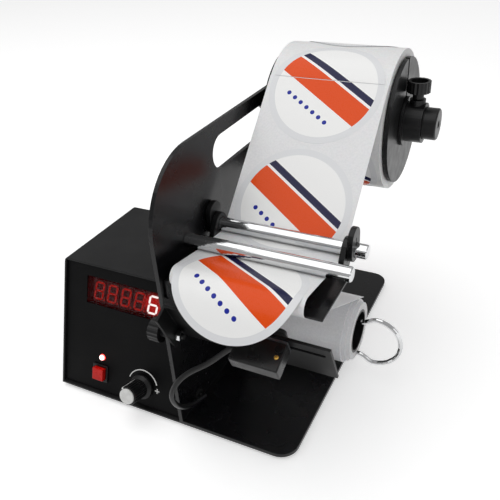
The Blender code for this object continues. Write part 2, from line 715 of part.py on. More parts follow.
def make_speed_control():
    """The potentiometer behind the panel, its nut, its shaft and the ribbed knob on it."""
    back = -PANEL_SHEET - GAP
    stem = [(POT_BUSHING, POT_BUSHING_STANDS), (POT_BUSHING, back), (POT_RADIUS, back),
            (POT_RADIUS, back - POT_DEPTH), (POT_SHAFT + GAP, back - POT_DEPTH),
            (POT_SHAFT + GAP, POT_BUSHING_STANDS)]
    body = smooth(turned("potentiometer", stem, "steel_grey", PANEL, turn=(0, 0, 0), sides=SMALL_SIDES,
                         location=(KNOB_X, KNOB_UP, 0)))
    nut = prism("potentiometer_nut", hexagon(POT_NUT), GAP, GAP + POT_NUT_HEIGHT, "steel_grey", PANEL,
                turn=(0, 0, 0), location=(KNOB_X, KNOB_UP, 0))
    boolean(nut, cylinder("pot_nut_cut", (POT_BUSHING + POT_SHAFT) / 2, -OVERRUN, OVERRUN, None, PANEL,
                          centre=(KNOB_X, KNOB_UP), sides=SMALL_SIDES))
    join(body, apply(nut))
    axis = empty("knob_axis", PANEL, (KNOB_X, KNOB_UP, 0))
    shaft = cylinder("potentiometer_shaft", POT_SHAFT, back - POT_DEPTH + GAP, POT_SHAFT_STANDS, "steel_grey",
                     axis, sides=SMALL_SIDES)
    top = KNOB_LIFT + KNOB_LENGTH
    ribs = [(radius * math.cos(a), radius * math.sin(a)) for radius, a in knob_section()]
    knob = prism("speed_knob", ribs, KNOB_LIFT + KNOB_SKIRT_HEIGHT / 2, top - KNOB_CAP_HEIGHT,
                 "plastic_black", axis, turn=(0, 0, 0))
    skirt = turned("knob_skirt", [(KNOB_BODY, KNOB_LIFT + KNOB_SKIRT_HEIGHT),
                                  (KNOB_SKIRT, KNOB_LIFT + KNOB_SKIRT_HEIGHT / 2), (KNOB_SKIRT, KNOB_LIFT),
                                  (0, KNOB_LIFT), (0, KNOB_LIFT + KNOB_SKIRT_HEIGHT)],
                   "plastic_black", axis, turn=(0, 0, 0), sides=36)
    knob = join(knob, skirt)
    boolean(knob, cylinder("knob_nut_cut", POT_NUT + GAP * 2, -OVERRUN, POT_BUSHING_STANDS + GAP * 2, None,
                           axis, sides=SMALL_SIDES))
    join(apply(knob), shaft)
    smooth(cylinder("knob_cap", KNOB_CAP, top - KNOB_CAP_HEIGHT + GAP, top, "cap_white", axis, sides=32))


def knob_section():
    """Radius and angle of the knob's ribbed outline, two points a rib."""
    steps = KNOB_RIBS * 2
    return [(KNOB_BODY - (KNOB_RIB_DEPTH if i % 2 else 0), 2 * math.pi * i / steps) for i in range(steps)]


# The back of the box: mains inlet and power switch
INLET_WIDTH = 28.0 * MM
INLET_HEIGHT = 21.0 * MM
INLET_DEPTH = 22.0 * MM
INLET_X = -88.0 * MM
BACK_FITTINGS_Z = 80.0 * MM
INLET_SOCKET_WIDTH = 24.0 * MM
INLET_SOCKET_HEIGHT = 16.0 * MM
INLET_SOCKET_DEPTH = 15.0 * MM
INLET_PIN = 1.0 * MM
INLET_PIN_HEIGHT = 4.0 * MM
INLET_PIN_LENGTH = 12.0 * MM
INLET_PIN_SPREAD = 7.0 * MM
INLET_FLANGE = 3.0 * MM
INLET_FLANGE_SHEET = 2.0 * MM
ROCKER_X = -42.0 * MM
ROCKER_WIDTH = 21.0 * MM
ROCKER_HEIGHT = 15.0 * MM
ROCKER_DEPTH = 18.0 * MM
ROCKER_FRAME = 2.0 * MM
ROCKER_TILT = math.radians(8.0)
ROCKER_STANDS = 2.4 * MM


def make_rear_panel():
    face = BOX_DEPTH - REAR_RECESS
    left = BOX_LEFT + COVER_SHEET + GAP
    panel = box("rear_panel", (left, face - PANEL_SHEET, FOOT_HEIGHT + COVER_SHEET + GAP),
                (BOX_RIGHT, face, BOX_TOP - COVER_SHEET - GAP), "cover_black", MACHINE)
    for name, x, width, height in (("inlet_cut", INLET_X, INLET_WIDTH, INLET_HEIGHT),
                                   ("rocker_cut", ROCKER_X, ROCKER_WIDTH, ROCKER_HEIGHT)):
        boolean(panel, box(name, (x - width / 2 - GAP, face - OVERRUN, BACK_FITTINGS_Z - height / 2 - GAP),
                           (x + width / 2 + GAP, face + OVERRUN, BACK_FITTINGS_Z + height / 2 + GAP),
                           None, MACHINE))
    apply(panel)


def make_inlet():
    face = BOX_DEPTH - REAR_RECESS
    half_w, half_h = INLET_WIDTH / 2, INLET_HEIGHT / 2
    body = box("mains_inlet", (INLET_X - half_w, face - INLET_DEPTH, BACK_FITTINGS_Z - half_h),
               (INLET_X + half_w, face + INLET_FLANGE_SHEET / 2, BACK_FITTINGS_Z + half_h), "plastic_black", MACHINE)
    rim = box("inlet_rim", (INLET_X - half_w - INLET_FLANGE, face + GAP, BACK_FITTINGS_Z - half_h - INLET_FLANGE),
              (INLET_X + half_w + INLET_FLANGE, face + INLET_FLANGE_SHEET, BACK_FITTINGS_Z + half_h + INLET_FLANGE),
              "plastic_black", MACHINE)
    body = join(body, rim)
    wide, high = INLET_SOCKET_WIDTH / 2, INLET_SOCKET_HEIGHT / 2
    boolean(body, box("inlet_socket_cut", (INLET_X - wide, face - INLET_SOCKET_DEPTH, BACK_FITTINGS_Z - high),
                      (INLET_X + wide, face + OVERRUN, BACK_FITTINGS_Z + high), None, MACHINE))
    body = apply(body)
    pins = []
    for i in (-1, 0, 1):
        x = INLET_X + i * INLET_PIN_SPREAD
        z = BACK_FITTINGS_Z + (INLET_PIN_HEIGHT / 2 if i == 0 else -INLET_PIN_HEIGHT / 4)
        start = face - INLET_SOCKET_DEPTH - INLET_PIN
        pins.append(box(f"inlet_pin_{i}", (x - INLET_PIN, start, z - INLET_PIN_HEIGHT / 2),
                        (x + INLET_PIN, start + INLET_PIN_LENGTH, z + INLET_PIN_HEIGHT / 2), "zinc", MACHINE))
    join(body, *pins)


def make_rocker():
    face = BOX_DEPTH - REAR_RECESS
    half_w, half_h = ROCKER_WIDTH / 2, ROCKER_HEIGHT / 2
    frame = box("rocker_frame", (ROCKER_X - half_w, face - ROCKER_DEPTH, BACK_FITTINGS_Z - half_h),
                (ROCKER_X + half_w, face + ROCKER_FRAME / 2, BACK_FITTINGS_Z + half_h), "plastic_black", MACHINE)
    rim = box("rocker_rim", (ROCKER_X - half_w - ROCKER_FRAME, face + GAP, BACK_FITTINGS_Z - half_h - ROCKER_FRAME),
              (ROCKER_X + half_w + ROCKER_FRAME, face + ROCKER_FRAME, BACK_FITTINGS_Z + half_h + ROCKER_FRAME),
              "plastic_black", MACHINE)
    frame = join(frame, rim)
    wide, high = half_w - ROCKER_FRAME, half_h - ROCKER_FRAME
    boolean(frame, box("rocker_well_cut", (ROCKER_X - wide, face - ROCKER_DEPTH * ROCKER_WELL_SHARE,
                                           BACK_FITTINGS_Z - high),
                       (ROCKER_X + wide, face + OVERRUN, BACK_FITTINGS_Z + high), None, MACHINE))
    apply(frame)
    axis = empty("rocker_axis", MACHINE, (ROCKER_X, face, BACK_FITTINGS_Z))
    reach = wide - GAP - ROCKER_STANDS * math.sin(ROCKER_TILT)
    deep = ROCKER_DEPTH * ROCKER_WELL_SHARE - GAP * 2 - reach * math.sin(ROCKER_TILT)
    paddle = [(-reach, ROCKER_STANDS), (0, ROCKER_STANDS * ROCKER_DIP_SHARE), (reach, ROCKER_STANDS),
              (reach * ROCKER_DIP_SHARE, -deep), (-reach * ROCKER_DIP_SHARE, -deep)]
    rocker = prism("power_rocker", paddle[::-1], -high + GAP, high - GAP, "plastic_black", axis, turn=(0, 0, 0))
    rocker.rotation_euler = (0, 0, ROCKER_TILT)


ROCKER_WELL_SHARE = 0.5
ROCKER_DIP_SHARE = 0.55

# Inside the box
BOARD_LOW = (-112.0 * MM, 42.0 * MM)
BOARD_HIGH = (-56.0 * MM, 96.0 * MM)
BOARD_LIFT = 6.0 * MM
STANDOFF_RADIUS = 3.0 * MM
CHIP_SHARES = ((0.15, 0.08, 0.40, 0.28, 8.0 * MM), (0.55, 0.15, 0.85, 0.30, 3.0 * MM),
               (0.72, 0.42, 0.92, 0.62, 9.0 * MM))
CORE_LOW = (-106.0 * MM, 62.0 * MM)
CORE_WIDTH = 28.0 * MM
CORE_DEPTH = 30.0 * MM
CORE_HEIGHT = 24.0 * MM
COIL_SHARE = 0.6


def make_control_board():
    """The control board on its posts, with its components and a small mains transformer."""
    under = FOOT_HEIGHT + COVER_SHEET + BOARD_LIFT
    board = box("control_board", (*BOARD_LOW, under), (*BOARD_HIGH, under + BOARD), "board_green", MACHINE)
    shapes = []
    inset = STANDOFF_RADIUS + GAP
    for i, x in enumerate((BOARD_LOW[0] + inset, BOARD_HIGH[0] - inset)):
        for j, y in enumerate((BOARD_LOW[1] + inset, BOARD_HIGH[1] - inset)):
            shapes.append(cylinder(f"post_{i}_{j}", STANDOFF_RADIUS, FOOT_HEIGHT + COVER_SHEET + GAP,
                                   under + BOARD / 2, "zinc", MACHINE, centre=(x, y), sides=12))
    span = (BOARD_HIGH[0] - BOARD_LOW[0], BOARD_HIGH[1] - BOARD_LOW[1])
    for i, (x0, y0, x1, y1, height) in enumerate(CHIP_SHARES):
        shapes.append(box(f"chip_{i}",
                          (BOARD_LOW[0] + x0 * span[0], BOARD_LOW[1] + y0 * span[1], under + BOARD / 2),
                          (BOARD_LOW[0] + x1 * span[0], BOARD_LOW[1] + y1 * span[1], under + BOARD + height),
                          "plastic_black", MACHINE))
    low = (*CORE_LOW, under + BOARD / 2)
    high = (CORE_LOW[0] + CORE_WIDTH, CORE_LOW[1] + CORE_DEPTH, low[2] + CORE_HEIGHT)
    shapes.append(box("transformer_core", low, high, "steel_grey", MACHINE))
    middle, rise = (low[1] + high[1]) / 2, (low[2] + high[2]) / 2
    reach, tall = CORE_DEPTH * COIL_SHARE / 2, CORE_HEIGHT * COIL_SHARE / 2
    shapes.append(box("transformer_coil", (low[0] - COIL_STANDS, middle - reach, rise - tall),
                      (high[0] + COIL_STANDS, middle + reach, rise + tall), "copper", MACHINE))
    join(board, *shapes)


COIL_STANDS = 3.0 * MM


def make_drive():
    """Motor and gearbox, and the threaded bush that clamps the gearbox to the side plate."""
    middle = REWIND[0] - GEARBOX_OFFSET
    right = -SHEET - GAP
    gearbox = box("gearbox", (right - GEARBOX_THICK, middle - GEARBOX_HALF, REWIND[1] - GEARBOX_HALF),
                  (right, middle + GEARBOX_HALF, REWIND[1] + GEARBOX_HALF), "steel_grey", MACHINE)
    gearbox = bevel(gearbox, GEARBOX_EDGE)
    boolean(gearbox, cylinder("gearbox_shaft_cut", BUSH_RADIUS + GAP, right - GEARBOX_THICK * SHAFT_GRIP_SHARE,
                              OVERRUN, None, MACHINE, centre=REWIND, turn=SIDEWAYS, sides=SMALL_SIDES))
    apply(gearbox)
    end = right - GEARBOX_THICK - GAP
    motor = [(MOTOR_RADIUS, end), (MOTOR_RADIUS, end - MOTOR_LENGTH),
             (MOTOR_CAP_RADIUS, end - MOTOR_LENGTH), (MOTOR_CAP_RADIUS, end - MOTOR_LENGTH - MOTOR_CAP),
             (0, end - MOTOR_LENGTH - MOTOR_CAP), (0, end)]
    smooth(turned("drive_motor", motor, "zinc", MACHINE, sides=32, location=(0, middle, REWIND[1])))
    bush = [(BUSH_FLANGE, GAP + BUSH_FLANGE_SHEET), (BUSH_FLANGE, GAP), (BUSH_RADIUS, GAP), (BUSH_RADIUS, -SHEET),
            (REWIND_SHAFT + RUNNING, -SHEET), (REWIND_SHAFT + RUNNING, GAP + BUSH_FLANGE_SHEET)]
    smooth(turned("rewind_bush", bush, "zinc", MACHINE, sides=32, location=(0, *REWIND)))


GEARBOX_EDGE = 1.5 * MM
SHAFT_GRIP_SHARE = 0.7


def make_rods():
    """Two chromed rods, each with a spigot through the side plate and a riveted head behind it."""
    for name, place in (("front_rod", FRONT_ROD), ("rear_rod", REAR_ROD)):
        tail = -SHEET - GAP - RIVET_HEIGHT
        profile = [(ROD_RADIUS - ROD_CHAMFER, ROD_END), (ROD_RADIUS, ROD_END - ROD_CHAMFER), (ROD_RADIUS, GAP),
                   (ROD_SPIGOT, GAP), (ROD_SPIGOT, -SHEET - GAP), (RIVET_RADIUS, -SHEET - GAP),
                   (RIVET_RADIUS * RIVET_DOME_SHARE, tail), (0, tail), (0, ROD_END)]
        smooth(turned(name, profile, "chrome", MACHINE, sides=32, location=(0, *place)))


ROD_CHAMFER = 0.6 * MM


def make_peel_plate():
    """The peel plate: a level sheet with a flange turned down against the side plate."""
    left = GAP
    profile = [(left, PEEL_Z), (left, PEEL_Z - PEEL_FLANGE), (left + PEEL_SHEET, PEEL_Z - PEEL_FLANGE),
               (left + PEEL_SHEET, PEEL_Z - PEEL_SHEET), (PEEL_END, PEEL_Z - PEEL_SHEET), (PEEL_END, PEEL_Z)]
    plate = prism("peel_plate", profile, -PEEL_FRONT - PEEL_DEPTH, -PEEL_FRONT + PEEL_SHEET / 2, "steel_black",
                  MACHINE, turn=LENGTHWAYS)
    plate = bevel(plate, PEEL_SHEET * PEEL_EDGE_SHARE)
    for i, y in enumerate(peel_screw_places()):
        boolean(plate, cylinder(f"peel_screw_cut_{i}", PEEL_SCREW + GAP, -OVERRUN, PEEL_SHEET + OVERRUN, None,
                                MACHINE, centre=(y, PEEL_SCREW_Z), turn=SIDEWAYS, sides=16))
    apply(plate)
    for i, y in enumerate(peel_screw_places(), 1):
        smooth(pan_screw(f"peel_screw_{i}", PEEL_SCREW, PEEL_SCREW_HEAD, PEEL_SCREW_HEAD_HEIGHT,
                         SHEET + left + PEEL_SHEET + PEEL_SCREW_STANDS, MACHINE, (-SHEET, y, PEEL_SCREW_Z), -1))


def web_wheels():
    """What the web runs over, from the roll to the rewind: place, radius of its centre line, side."""
    skin = GAP + WEB_SHEET / 2
    edge = (PEEL_FRONT, PEEL_Z - PEEL_SHEET / 2)
    return [(*SUPPLY, ROLL_RADIUS + skin, 1), (*REAR_ROD, ROD_RADIUS + skin, -1),
            (*FRONT_ROD, ROD_RADIUS + skin, -1), (ARCH_Y, FOOT_HEIGHT + ARCH_Z, ARCH_RADIUS, 1),
            (*edge, PEEL_SHEET / 2 + skin, 1), (*REWIND, BACKING_RADIUS + skin, -1)]


def make_web():
    """The carrier web: fed under both rods, arched over the peel edge, and back to the rewind."""
    wheels = web_wheels()
    lines = belt(wheels)
    feed = [lines[0][0]]
    for wheel, before, after, steps in zip(wheels[1:-1], lines, lines[1:], WEB_STEPS):
        feed += wrap(wheel, before[1], after[0], steps)
    prism("carrier_web", ribbon(feed, WEB_SHEET), WEB_LEFT, WEB_RIGHT, "paper_white", MACHINE)
    start, end = Vector(lines[-1][0]), Vector(lines[-1][1])
    start = start + (end - start).normalized() * GAP
    prism("carrier_return", ribbon([tuple(start), tuple(end)], WEB_SHEET), WEB_LEFT, WEB_RIGHT,
          "paper_white", MACHINE)


WEB_STEPS = (5, 3, 14, 5)


def make_peeled_label():
    """The label being served: its front half leaves the web on top of the arch and hangs down."""
    start = (ARCH_Y, FOOT_HEIGHT + ARCH_Z + ARCH_RADIUS + WEB_SHEET + GAP)
    steps = 14
    path = [start]
    stride = LABEL_REACH / steps
    first, second = LABEL_DROOP_SHARES
    for i in range(steps):
        share = (i + 0.5) / steps
        bend = math.pi + LABEL_DROOP * (first * share + second * share * share)
        path.append((path[-1][0] + stride * math.cos(bend), path[-1][1] + stride * math.sin(bend)))
    sheet = prism("peeled_label", ribbon(path, WEB_SHEET), WEB_LEFT, WEB_RIGHT, "label_white", MACHINE)
    tip = path[-1]
    lean = math.atan2(tip[1] - start[1], tip[0] - start[0])
    centre = (tip[0] - LABEL_RADIUS * math.cos(lean), tip[1] - LABEL_RADIUS * math.sin(lean))
    punch = cylinder("label_punch", LABEL_RADIUS, -LABEL_REACH, LABEL_REACH, None, MACHINE, sides=64)
    punch.location = ((WEB_LEFT + WEB_RIGHT) / 2, *centre)
    punch.rotation_euler = (lean - math.pi, 0, 0)
    boolean(sheet, punch, "INTERSECT")
    return apply(sheet)


# Edge guides on the rear rod: plastic cams in pairs, slit so that they grip
GUIDE_THICK = 3.8 * MM
GUIDE_RADIUS = 8.3 * MM
GUIDE_LOBE = 8.3 * MM
GUIDE_SLIT = 1.2 * MM
GUIDE_DROP = math.radians(35.0)


def make_guide(name, start, angle):
    """A cam of two equal circles, one round the rod and one at the lobe, slit from the rod outwards."""
    low = arc((0, 0), GUIDE_RADIUS, math.pi, 2 * math.pi, 14)
    high = arc((0, GUIDE_LOBE), GUIDE_RADIUS, 0, math.pi, 14)
    guide = prism(name, low + high, start, start + GUIDE_THICK, "plastic_black", MACHINE)
    guide.location = (0, *REAR_ROD)
    guide = smooth(bevel(guide, GUIDE_EDGE, 1), math.radians(30))
    hole = cylinder(f"{name}_hole_cut", ROD_RADIUS + GAP, start - OVERRUN, start + GUIDE_THICK + OVERRUN, None,
                    MACHINE, sides=32)
    slit = box(f"{name}_slit_cut", (-GUIDE_SLIT / 2, 0, start - OVERRUN),
               (GUIDE_SLIT / 2, ROD_RADIUS + GUIDE_SLIT_LENGTH, start + GUIDE_THICK + OVERRUN), None, MACHINE)
    for cutter in (hole, slit):
        middle = cutter.location.copy()
        cutter.data.transform(Matrix.Translation(middle))
        cutter.location = (0, *REAR_ROD)
        cutter.rotation_euler = SIDEWAYS
        boolean(guide, cutter)
    guide = apply(guide)
    guide.data.transform(Matrix.Rotation(angle, 4, "Z"))
    return guide


GUIDE_EDGE = 0.4 * MM
GUIDE_SLIT_LENGTH = 4.5 * MM


def make_guides():
    """Each pair hugs one edge of the web: the outer cam stands up, the inner one hangs down."""
    right = WEB_RIGHT + GUIDE_SIDE_GAP
    left = WEB_LEFT - GUIDE_SIDE_GAP
    make_guide("guide_right_lower", right, math.pi - GUIDE_DROP)
    make_guide("guide_right_upper", right + GUIDE_THICK + GAP, 0)
    make_guide("guide_left_lower", left - GUIDE_THICK, math.pi - GUIDE_DROP)
    make_guide("guide_left_upper", left - 2 * GUIDE_THICK - GAP, 0)


GUIDE_SIDE_GAP = 0.4 * MM

# The supply reel
REEL_LEFT = WEB_LEFT - FLANGE_GAP
REEL_RIGHT = WEB_RIGHT + FLANGE_GAP
REEL_HEAD = 9.0 * MM
REEL_HEAD_HEIGHT = 4.0 * MM
SHAFT_CENTRE_HOLE = 3.0 * MM
SHAFT_CENTRE_DEPTH = 9.0 * MM
SHAFT_CHAMFER = 0.8 * MM
COLLAR_BOSS = 6.0 * MM
COLLAR_BOSS_TOP = 18.5 * MM
COLLAR_HUB = 19.0 * MM
COLLAR_HUB_SHEET = 2.0 * MM
THUMB_HEAD = 8.8 * MM
THUMB_HEAD_HEIGHT = 8.6 * MM
THUMB_NECK = 4.2 * MM
THUMB_NECK_HEIGHT = 5.0 * MM
THUMB_THREAD = 2.5 * MM
THUMB_DISH = 6.6 * MM
THUMB_DISH_DEPTH = 4.0 * MM
THUMB_RIBS = 18
THUMB_RIB_DEPTH = 0.45 * MM


def thumb_screw(name, parent, neck_start, thread_end, turn=(0, 0, 0), location=(0, 0, 0)):
    """A ribbed cup-shaped thumb screw along local Z: thread, neck, then a hollow head."""
    head_start = neck_start + THUMB_NECK_HEIGHT
    top = head_start + THUMB_HEAD_HEIGHT
    steps = THUMB_RIBS * 2
    ring = [((THUMB_HEAD - (THUMB_RIB_DEPTH if i % 2 else 0)) * math.cos(2 * math.pi * i / steps),
             (THUMB_HEAD - (THUMB_RIB_DEPTH if i % 2 else 0)) * math.sin(2 * math.pi * i / steps))
            for i in range(steps)]
    head = prism(name, ring, head_start, top, "plastic_black", parent, turn=turn, location=location)
    stem = turned(f"{name}_stem", [(THUMB_NECK, head_start + OVERRUN / 2), (THUMB_NECK, neck_start),
                                   (THUMB_THREAD, neck_start), (THUMB_THREAD, thread_end), (0, thread_end),
                                   (0, head_start + OVERRUN / 2)],
                  "plastic_black", parent, turn=turn, sides=SMALL_SIDES, location=location)
    head = join(head, stem)
    dish = cylinder(f"{name}_dish_cut", THUMB_DISH, top - THUMB_DISH_DEPTH, top + OVERRUN, None, parent,
                    turn=turn, sides=SMALL_SIDES)
    dish.location = location
    boolean(head, dish)
    return apply(head)


def make_supply():
    """Bearing, shaft, flanges, card core and label roll, with the collar that clamps the outer flange."""
    axis = empty("supply_axis", MACHINE, (0, *SUPPLY))
    bearing = [(BEARING_FLANGE, GAP + BEARING_FLANGE_SHEET), (BEARING_FLANGE, GAP), (BEARING_RADIUS, GAP),
               (BEARING_RADIUS, -SHEET - GAP), (SUPPLY_JOURNAL + RUNNING, -SHEET - GAP),
               (SUPPLY_JOURNAL + RUNNING, GAP + BEARING_FLANGE_SHEET)]
    smooth(turned("reel_bearing", bearing, "zinc", MACHINE, sides=32, location=(0, *SUPPLY)))
    shoulder = GAP + BEARING_FLANGE_SHEET + GAP
    behind = -SHEET - GAP * 2
    tail = behind - REEL_HEAD_HEIGHT
    shaft = [(SHAFT_RADIUS - SHAFT_CHAMFER, SHAFT_END), (SHAFT_RADIUS, SHAFT_END - SHAFT_CHAMFER),
             (SHAFT_RADIUS, shoulder), (SUPPLY_JOURNAL, shoulder), (SUPPLY_JOURNAL, behind),
             (REEL_HEAD, behind), (REEL_HEAD, tail), (0, tail),
             (0, SHAFT_END - SHAFT_CENTRE_DEPTH), (SHAFT_CENTRE_HOLE, SHAFT_END - SHAFT_CENTRE_DEPTH),
             (SHAFT_CENTRE_HOLE, SHAFT_END)]
    smooth(turned("supply_shaft", shaft, "plastic_black", axis, sides=SIDES))
    inner_right = WEB_LEFT - FLANGE_GAP
    inner = ring_profile(SHAFT_RADIUS + GAP, FLANGE_RADIUS, inner_right - FLANGE_SHEET, inner_right)
    smooth(turned("inner_flange", inner, "plastic_black", axis))
    core = ring_profile(SHAFT_RADIUS + GAP, SHAFT_RADIUS + GAP + CORE_WALL, WEB_LEFT, WEB_RIGHT)
    smooth(turned("roll_core", core, "card_brown", axis, sides=32))
    roll = ring_profile(SHAFT_RADIUS + GAP * 2 + CORE_WALL, ROLL_RADIUS, WEB_LEFT, WEB_RIGHT)
    smooth(turned("label_roll", roll, "label_white", axis, sides=72))
    start = REEL_RIGHT
    outer = turned("outer_flange", ring_profile(SHAFT_RADIUS + GAP, FLANGE_RADIUS, start, start + FLANGE_SHEET),
                   "plastic_black", axis)
    notch = box("flange_notch_cut", (start - OVERRUN, -FLANGE_SLOT / 2, SHAFT_RADIUS + CORE_WALL),
                (start + FLANGE_SHEET + OVERRUN, FLANGE_SLOT / 2, FLANGE_RADIUS + OVERRUN), None, axis)
    boolean(outer, notch)
    smooth(apply(outer))
    collar_start = start + FLANGE_SHEET + GAP
    collar = turned("flange_collar", [(COLLAR_RADIUS, COLLAR_END), (COLLAR_RADIUS, collar_start + COLLAR_HUB_SHEET),
                                      (COLLAR_HUB, collar_start + COLLAR_HUB_SHEET), (COLLAR_HUB, collar_start),
                                      (SHAFT_RADIUS + GAP, collar_start), (SHAFT_RADIUS + GAP, COLLAR_END)],
                    "plastic_black", axis)
    boss_x = (collar_start + COLLAR_HUB_SHEET + COLLAR_END) / 2
    boss = cylinder("collar_boss", COLLAR_BOSS, SHAFT_RADIUS + CORE_WALL / 2, COLLAR_BOSS_TOP, "plastic_black", axis,
                    sides=SMALL_SIDES)
    boss.location = (boss_x, 0, 0)
    collar = join(collar, boss)
    thread = cylinder("collar_thread_cut", THUMB_THREAD + GAP, 0, COLLAR_BOSS_TOP + OVERRUN, None, axis,
                      sides=SMALL_SIDES)
    thread.location = (boss_x, 0, 0)
    boolean(collar, thread)
    smooth(apply(collar))
    screw_axis = empty("collar_screw_axis", axis, (boss_x, 0, 0))
    thumb_screw("collar_screw", screw_axis, COLLAR_BOSS_TOP + GAP, SHAFT_RADIUS + GAP)


def ring_profile(inner, outer, start, end):
    return [(outer, end), (outer, start), (inner, start), (inner, end)]


# The backing rewind
DRUM_LEFT = 5.0 * MM
BACKING_STEP_SHARES = ((0.0, 1.0), (0.93, 1.0), (0.93, 0.93), (0.965, 0.93), (0.965, 0.86), (1.0, 0.86))
CLIP_INNER_LEG = 8.9 * MM
CLIP_OUTER_LEG = 20.8 * MM
CLIP_REACH = 70.0 * MM
CLIP_NECK = 105.0 * MM
CLIP_SHOULDER = 116.0 * MM
CLIP_BULGE = 4.8 * MM
BACKING_LEFT = 11.0 * MM


def clip_route():
    """Middle line of the bent wire: a straight leg, a neck that flares, a round loop, and back."""
    half = (CLIP_INNER_LEG + CLIP_OUTER_LEG) / 2
    middle = (CLIP_INNER_LEG - CLIP_OUTER_LEG) / 2
    start = BACKING_END - CLIP_REACH
    leg = [(start, half)]
    for i in range(5):
        share = i / 4
        ease = share * share * (3 - 2 * share)
        leg.append((CLIP_NECK + (CLIP_SHOULDER - CLIP_NECK) * share, half + CLIP_BULGE * ease))
    width = half + CLIP_BULGE
    reach = CLIP_END - CLIP_WIRE - CLIP_SHOULDER
    steps = 14
    loop = [(CLIP_SHOULDER + reach * math.sin(math.pi * i / steps), width * math.cos(math.pi * i / steps))
            for i in range(1, steps)]
    route = leg + loop + [(x, -w) for x, w in reversed(leg)]
    return [(x, 0, middle + w) for x, w in route]


def make_rewind():
    """Drum with its shaft, the wound backing and the wire clip that holds the backing's end."""
    axis = empty("rewind_axis", MACHINE, (0, *REWIND), (CLIP_TILT, 0, 0))
    left = -SHEET - GEARBOX_THICK * SHAFT_GRIP_SHARE
    inner = DRUM_RADIUS - DRUM_WALL
    drum = [(DRUM_RADIUS, BACKING_END), (DRUM_RADIUS, DRUM_LEFT), (REWIND_SHAFT, DRUM_LEFT), (REWIND_SHAFT, left),
            (0, left), (0, BACKING_END - DRUM_RECESS), (inner, BACKING_END - DRUM_RECESS), (inner, BACKING_END)]
    drum = turned("rewind_drum", drum, "plastic_black", axis)
    hole = cylinder("clip_hole_cut", CLIP_WIRE + GAP, BACKING_END - CLIP_REACH - OVERRUN, BACKING_END + OVERRUN, None,
                    axis, centre=(0, CLIP_INNER_LEG), turn=SIDEWAYS, sides=16)
    boolean(drum, hole)
    smooth(apply(drum))
    span = BACKING_END - BACKING_LEFT
    steps = [(BACKING_RADIUS * r, BACKING_LEFT + span * x) for x, r in BACKING_STEP_SHARES]
    profile = steps[::-1] + [(DRUM_RADIUS + GAP, BACKING_LEFT), (DRUM_RADIUS + GAP, BACKING_END)]
    backing = turned("backing_roll", profile, "paper_white", axis, sides=56)
    channel = cylinder("clip_channel_cut", CLIP_WIRE + GAP, BACKING_END - CLIP_REACH - OVERRUN, BACKING_END + OVERRUN,
                       None, axis, centre=(0, -CLIP_OUTER_LEG), turn=SIDEWAYS, sides=16)
    boolean(backing, channel)
    smooth(apply(backing))
    smooth(tube("backing_clip", clip_route(), CLIP_WIRE, "chrome", axis, 3))


# Sensor arm and sensor
ARM_LEFT = 0.5 * MM
ARM_NUT = 3.9 * MM
ARM_NUT_HEIGHT = 4.0 * MM
NUT_CUT_SHARE = 4.0
ARM_SCREW_STANDS = 2.0 * MM
SLOT_DROP = 9.0 * MM
CARRIER_SHEET = 1.5 * MM
CARRIER_LEG = 16.0 * MM
SENSOR_SCREW = 1.5 * MM
SENSOR_SCREW_HEAD = 2.7 * MM
SENSOR_SCREW_HEAD_HEIGHT = 1.2 * MM
SENSOR_SCREW_SPREAD = 12.7 * MM
SENSOR_SCREW_BACK = 5.0 * MM
CLAMP_X = 82.0 * MM
CLAMP_KNOB = 5.5 * MM
CLAMP_KNOB_HEIGHT = 7.0 * MM
CLAMP_SCREW = 1.4 * MM
CLAMP_DOME_SHARE = 0.6


def make_arm():
    """The bent arm: a tab clamped to the side plate and a long leaning blade with a slot."""
    frame = empty("arm_frame", MACHINE, (0, *ARM), (ARM_LEAN, 0, 0))
    low_tab = (ARM_LEFT, -TAB_FRONT, -ARM_BOTTOM)
    arm = box("sensor_arm", (ARM_LEFT, TAB_BACK, -ARM_BOTTOM), (ARM_END, TAB_BACK + ARM_SHEET, ARM_TOP),
              "steel_black", frame)
    tab = box("arm_tab", low_tab, (ARM_LEFT + ARM_SHEET, TAB_BACK + ARM_SHEET / 2, ARM_TOP), "steel_black", frame)
    arm = join(arm, tab)
    slot_z = ARM_TOP - SLOT_DROP
    outline = round_slot(((SLOT_START + SLOT_END) / 2, slot_z), SLOT_END - SLOT_START, SLOT_HEIGHT, 8)
    cut = prism("arm_slot_cut", outline, -TAB_BACK - ARM_SHEET - OVERRUN, -TAB_BACK + OVERRUN, None, frame,
                turn=LENGTHWAYS)
    boolean(arm, cut)
    boolean(arm, cylinder("arm_screw_cut", ARM_SCREW + GAP, -OVERRUN, OVERRUN, None, frame, turn=SIDEWAYS,
                          sides=SMALL_SIDES))
    apply(arm)
    start = ARM_LEFT + ARM_SHEET + GAP
    nut = prism("arm_nut", hexagon(ARM_NUT), start, start + ARM_NUT_HEIGHT, "chrome", frame)
    boolean(nut, cylinder("arm_nut_cut", ARM_SCREW + GAP, -OVERRUN, OVERRUN * NUT_CUT_SHARE, None, frame, turn=SIDEWAYS,
                          sides=SMALL_SIDES))
    apply(nut)
    knob_axis = empty("arm_knob_axis", MACHINE, (0, *ARM))
    clamp = clamp_knob(knob_axis, start + ARM_NUT_HEIGHT + ARM_SCREW_STANDS)
    return frame, clamp


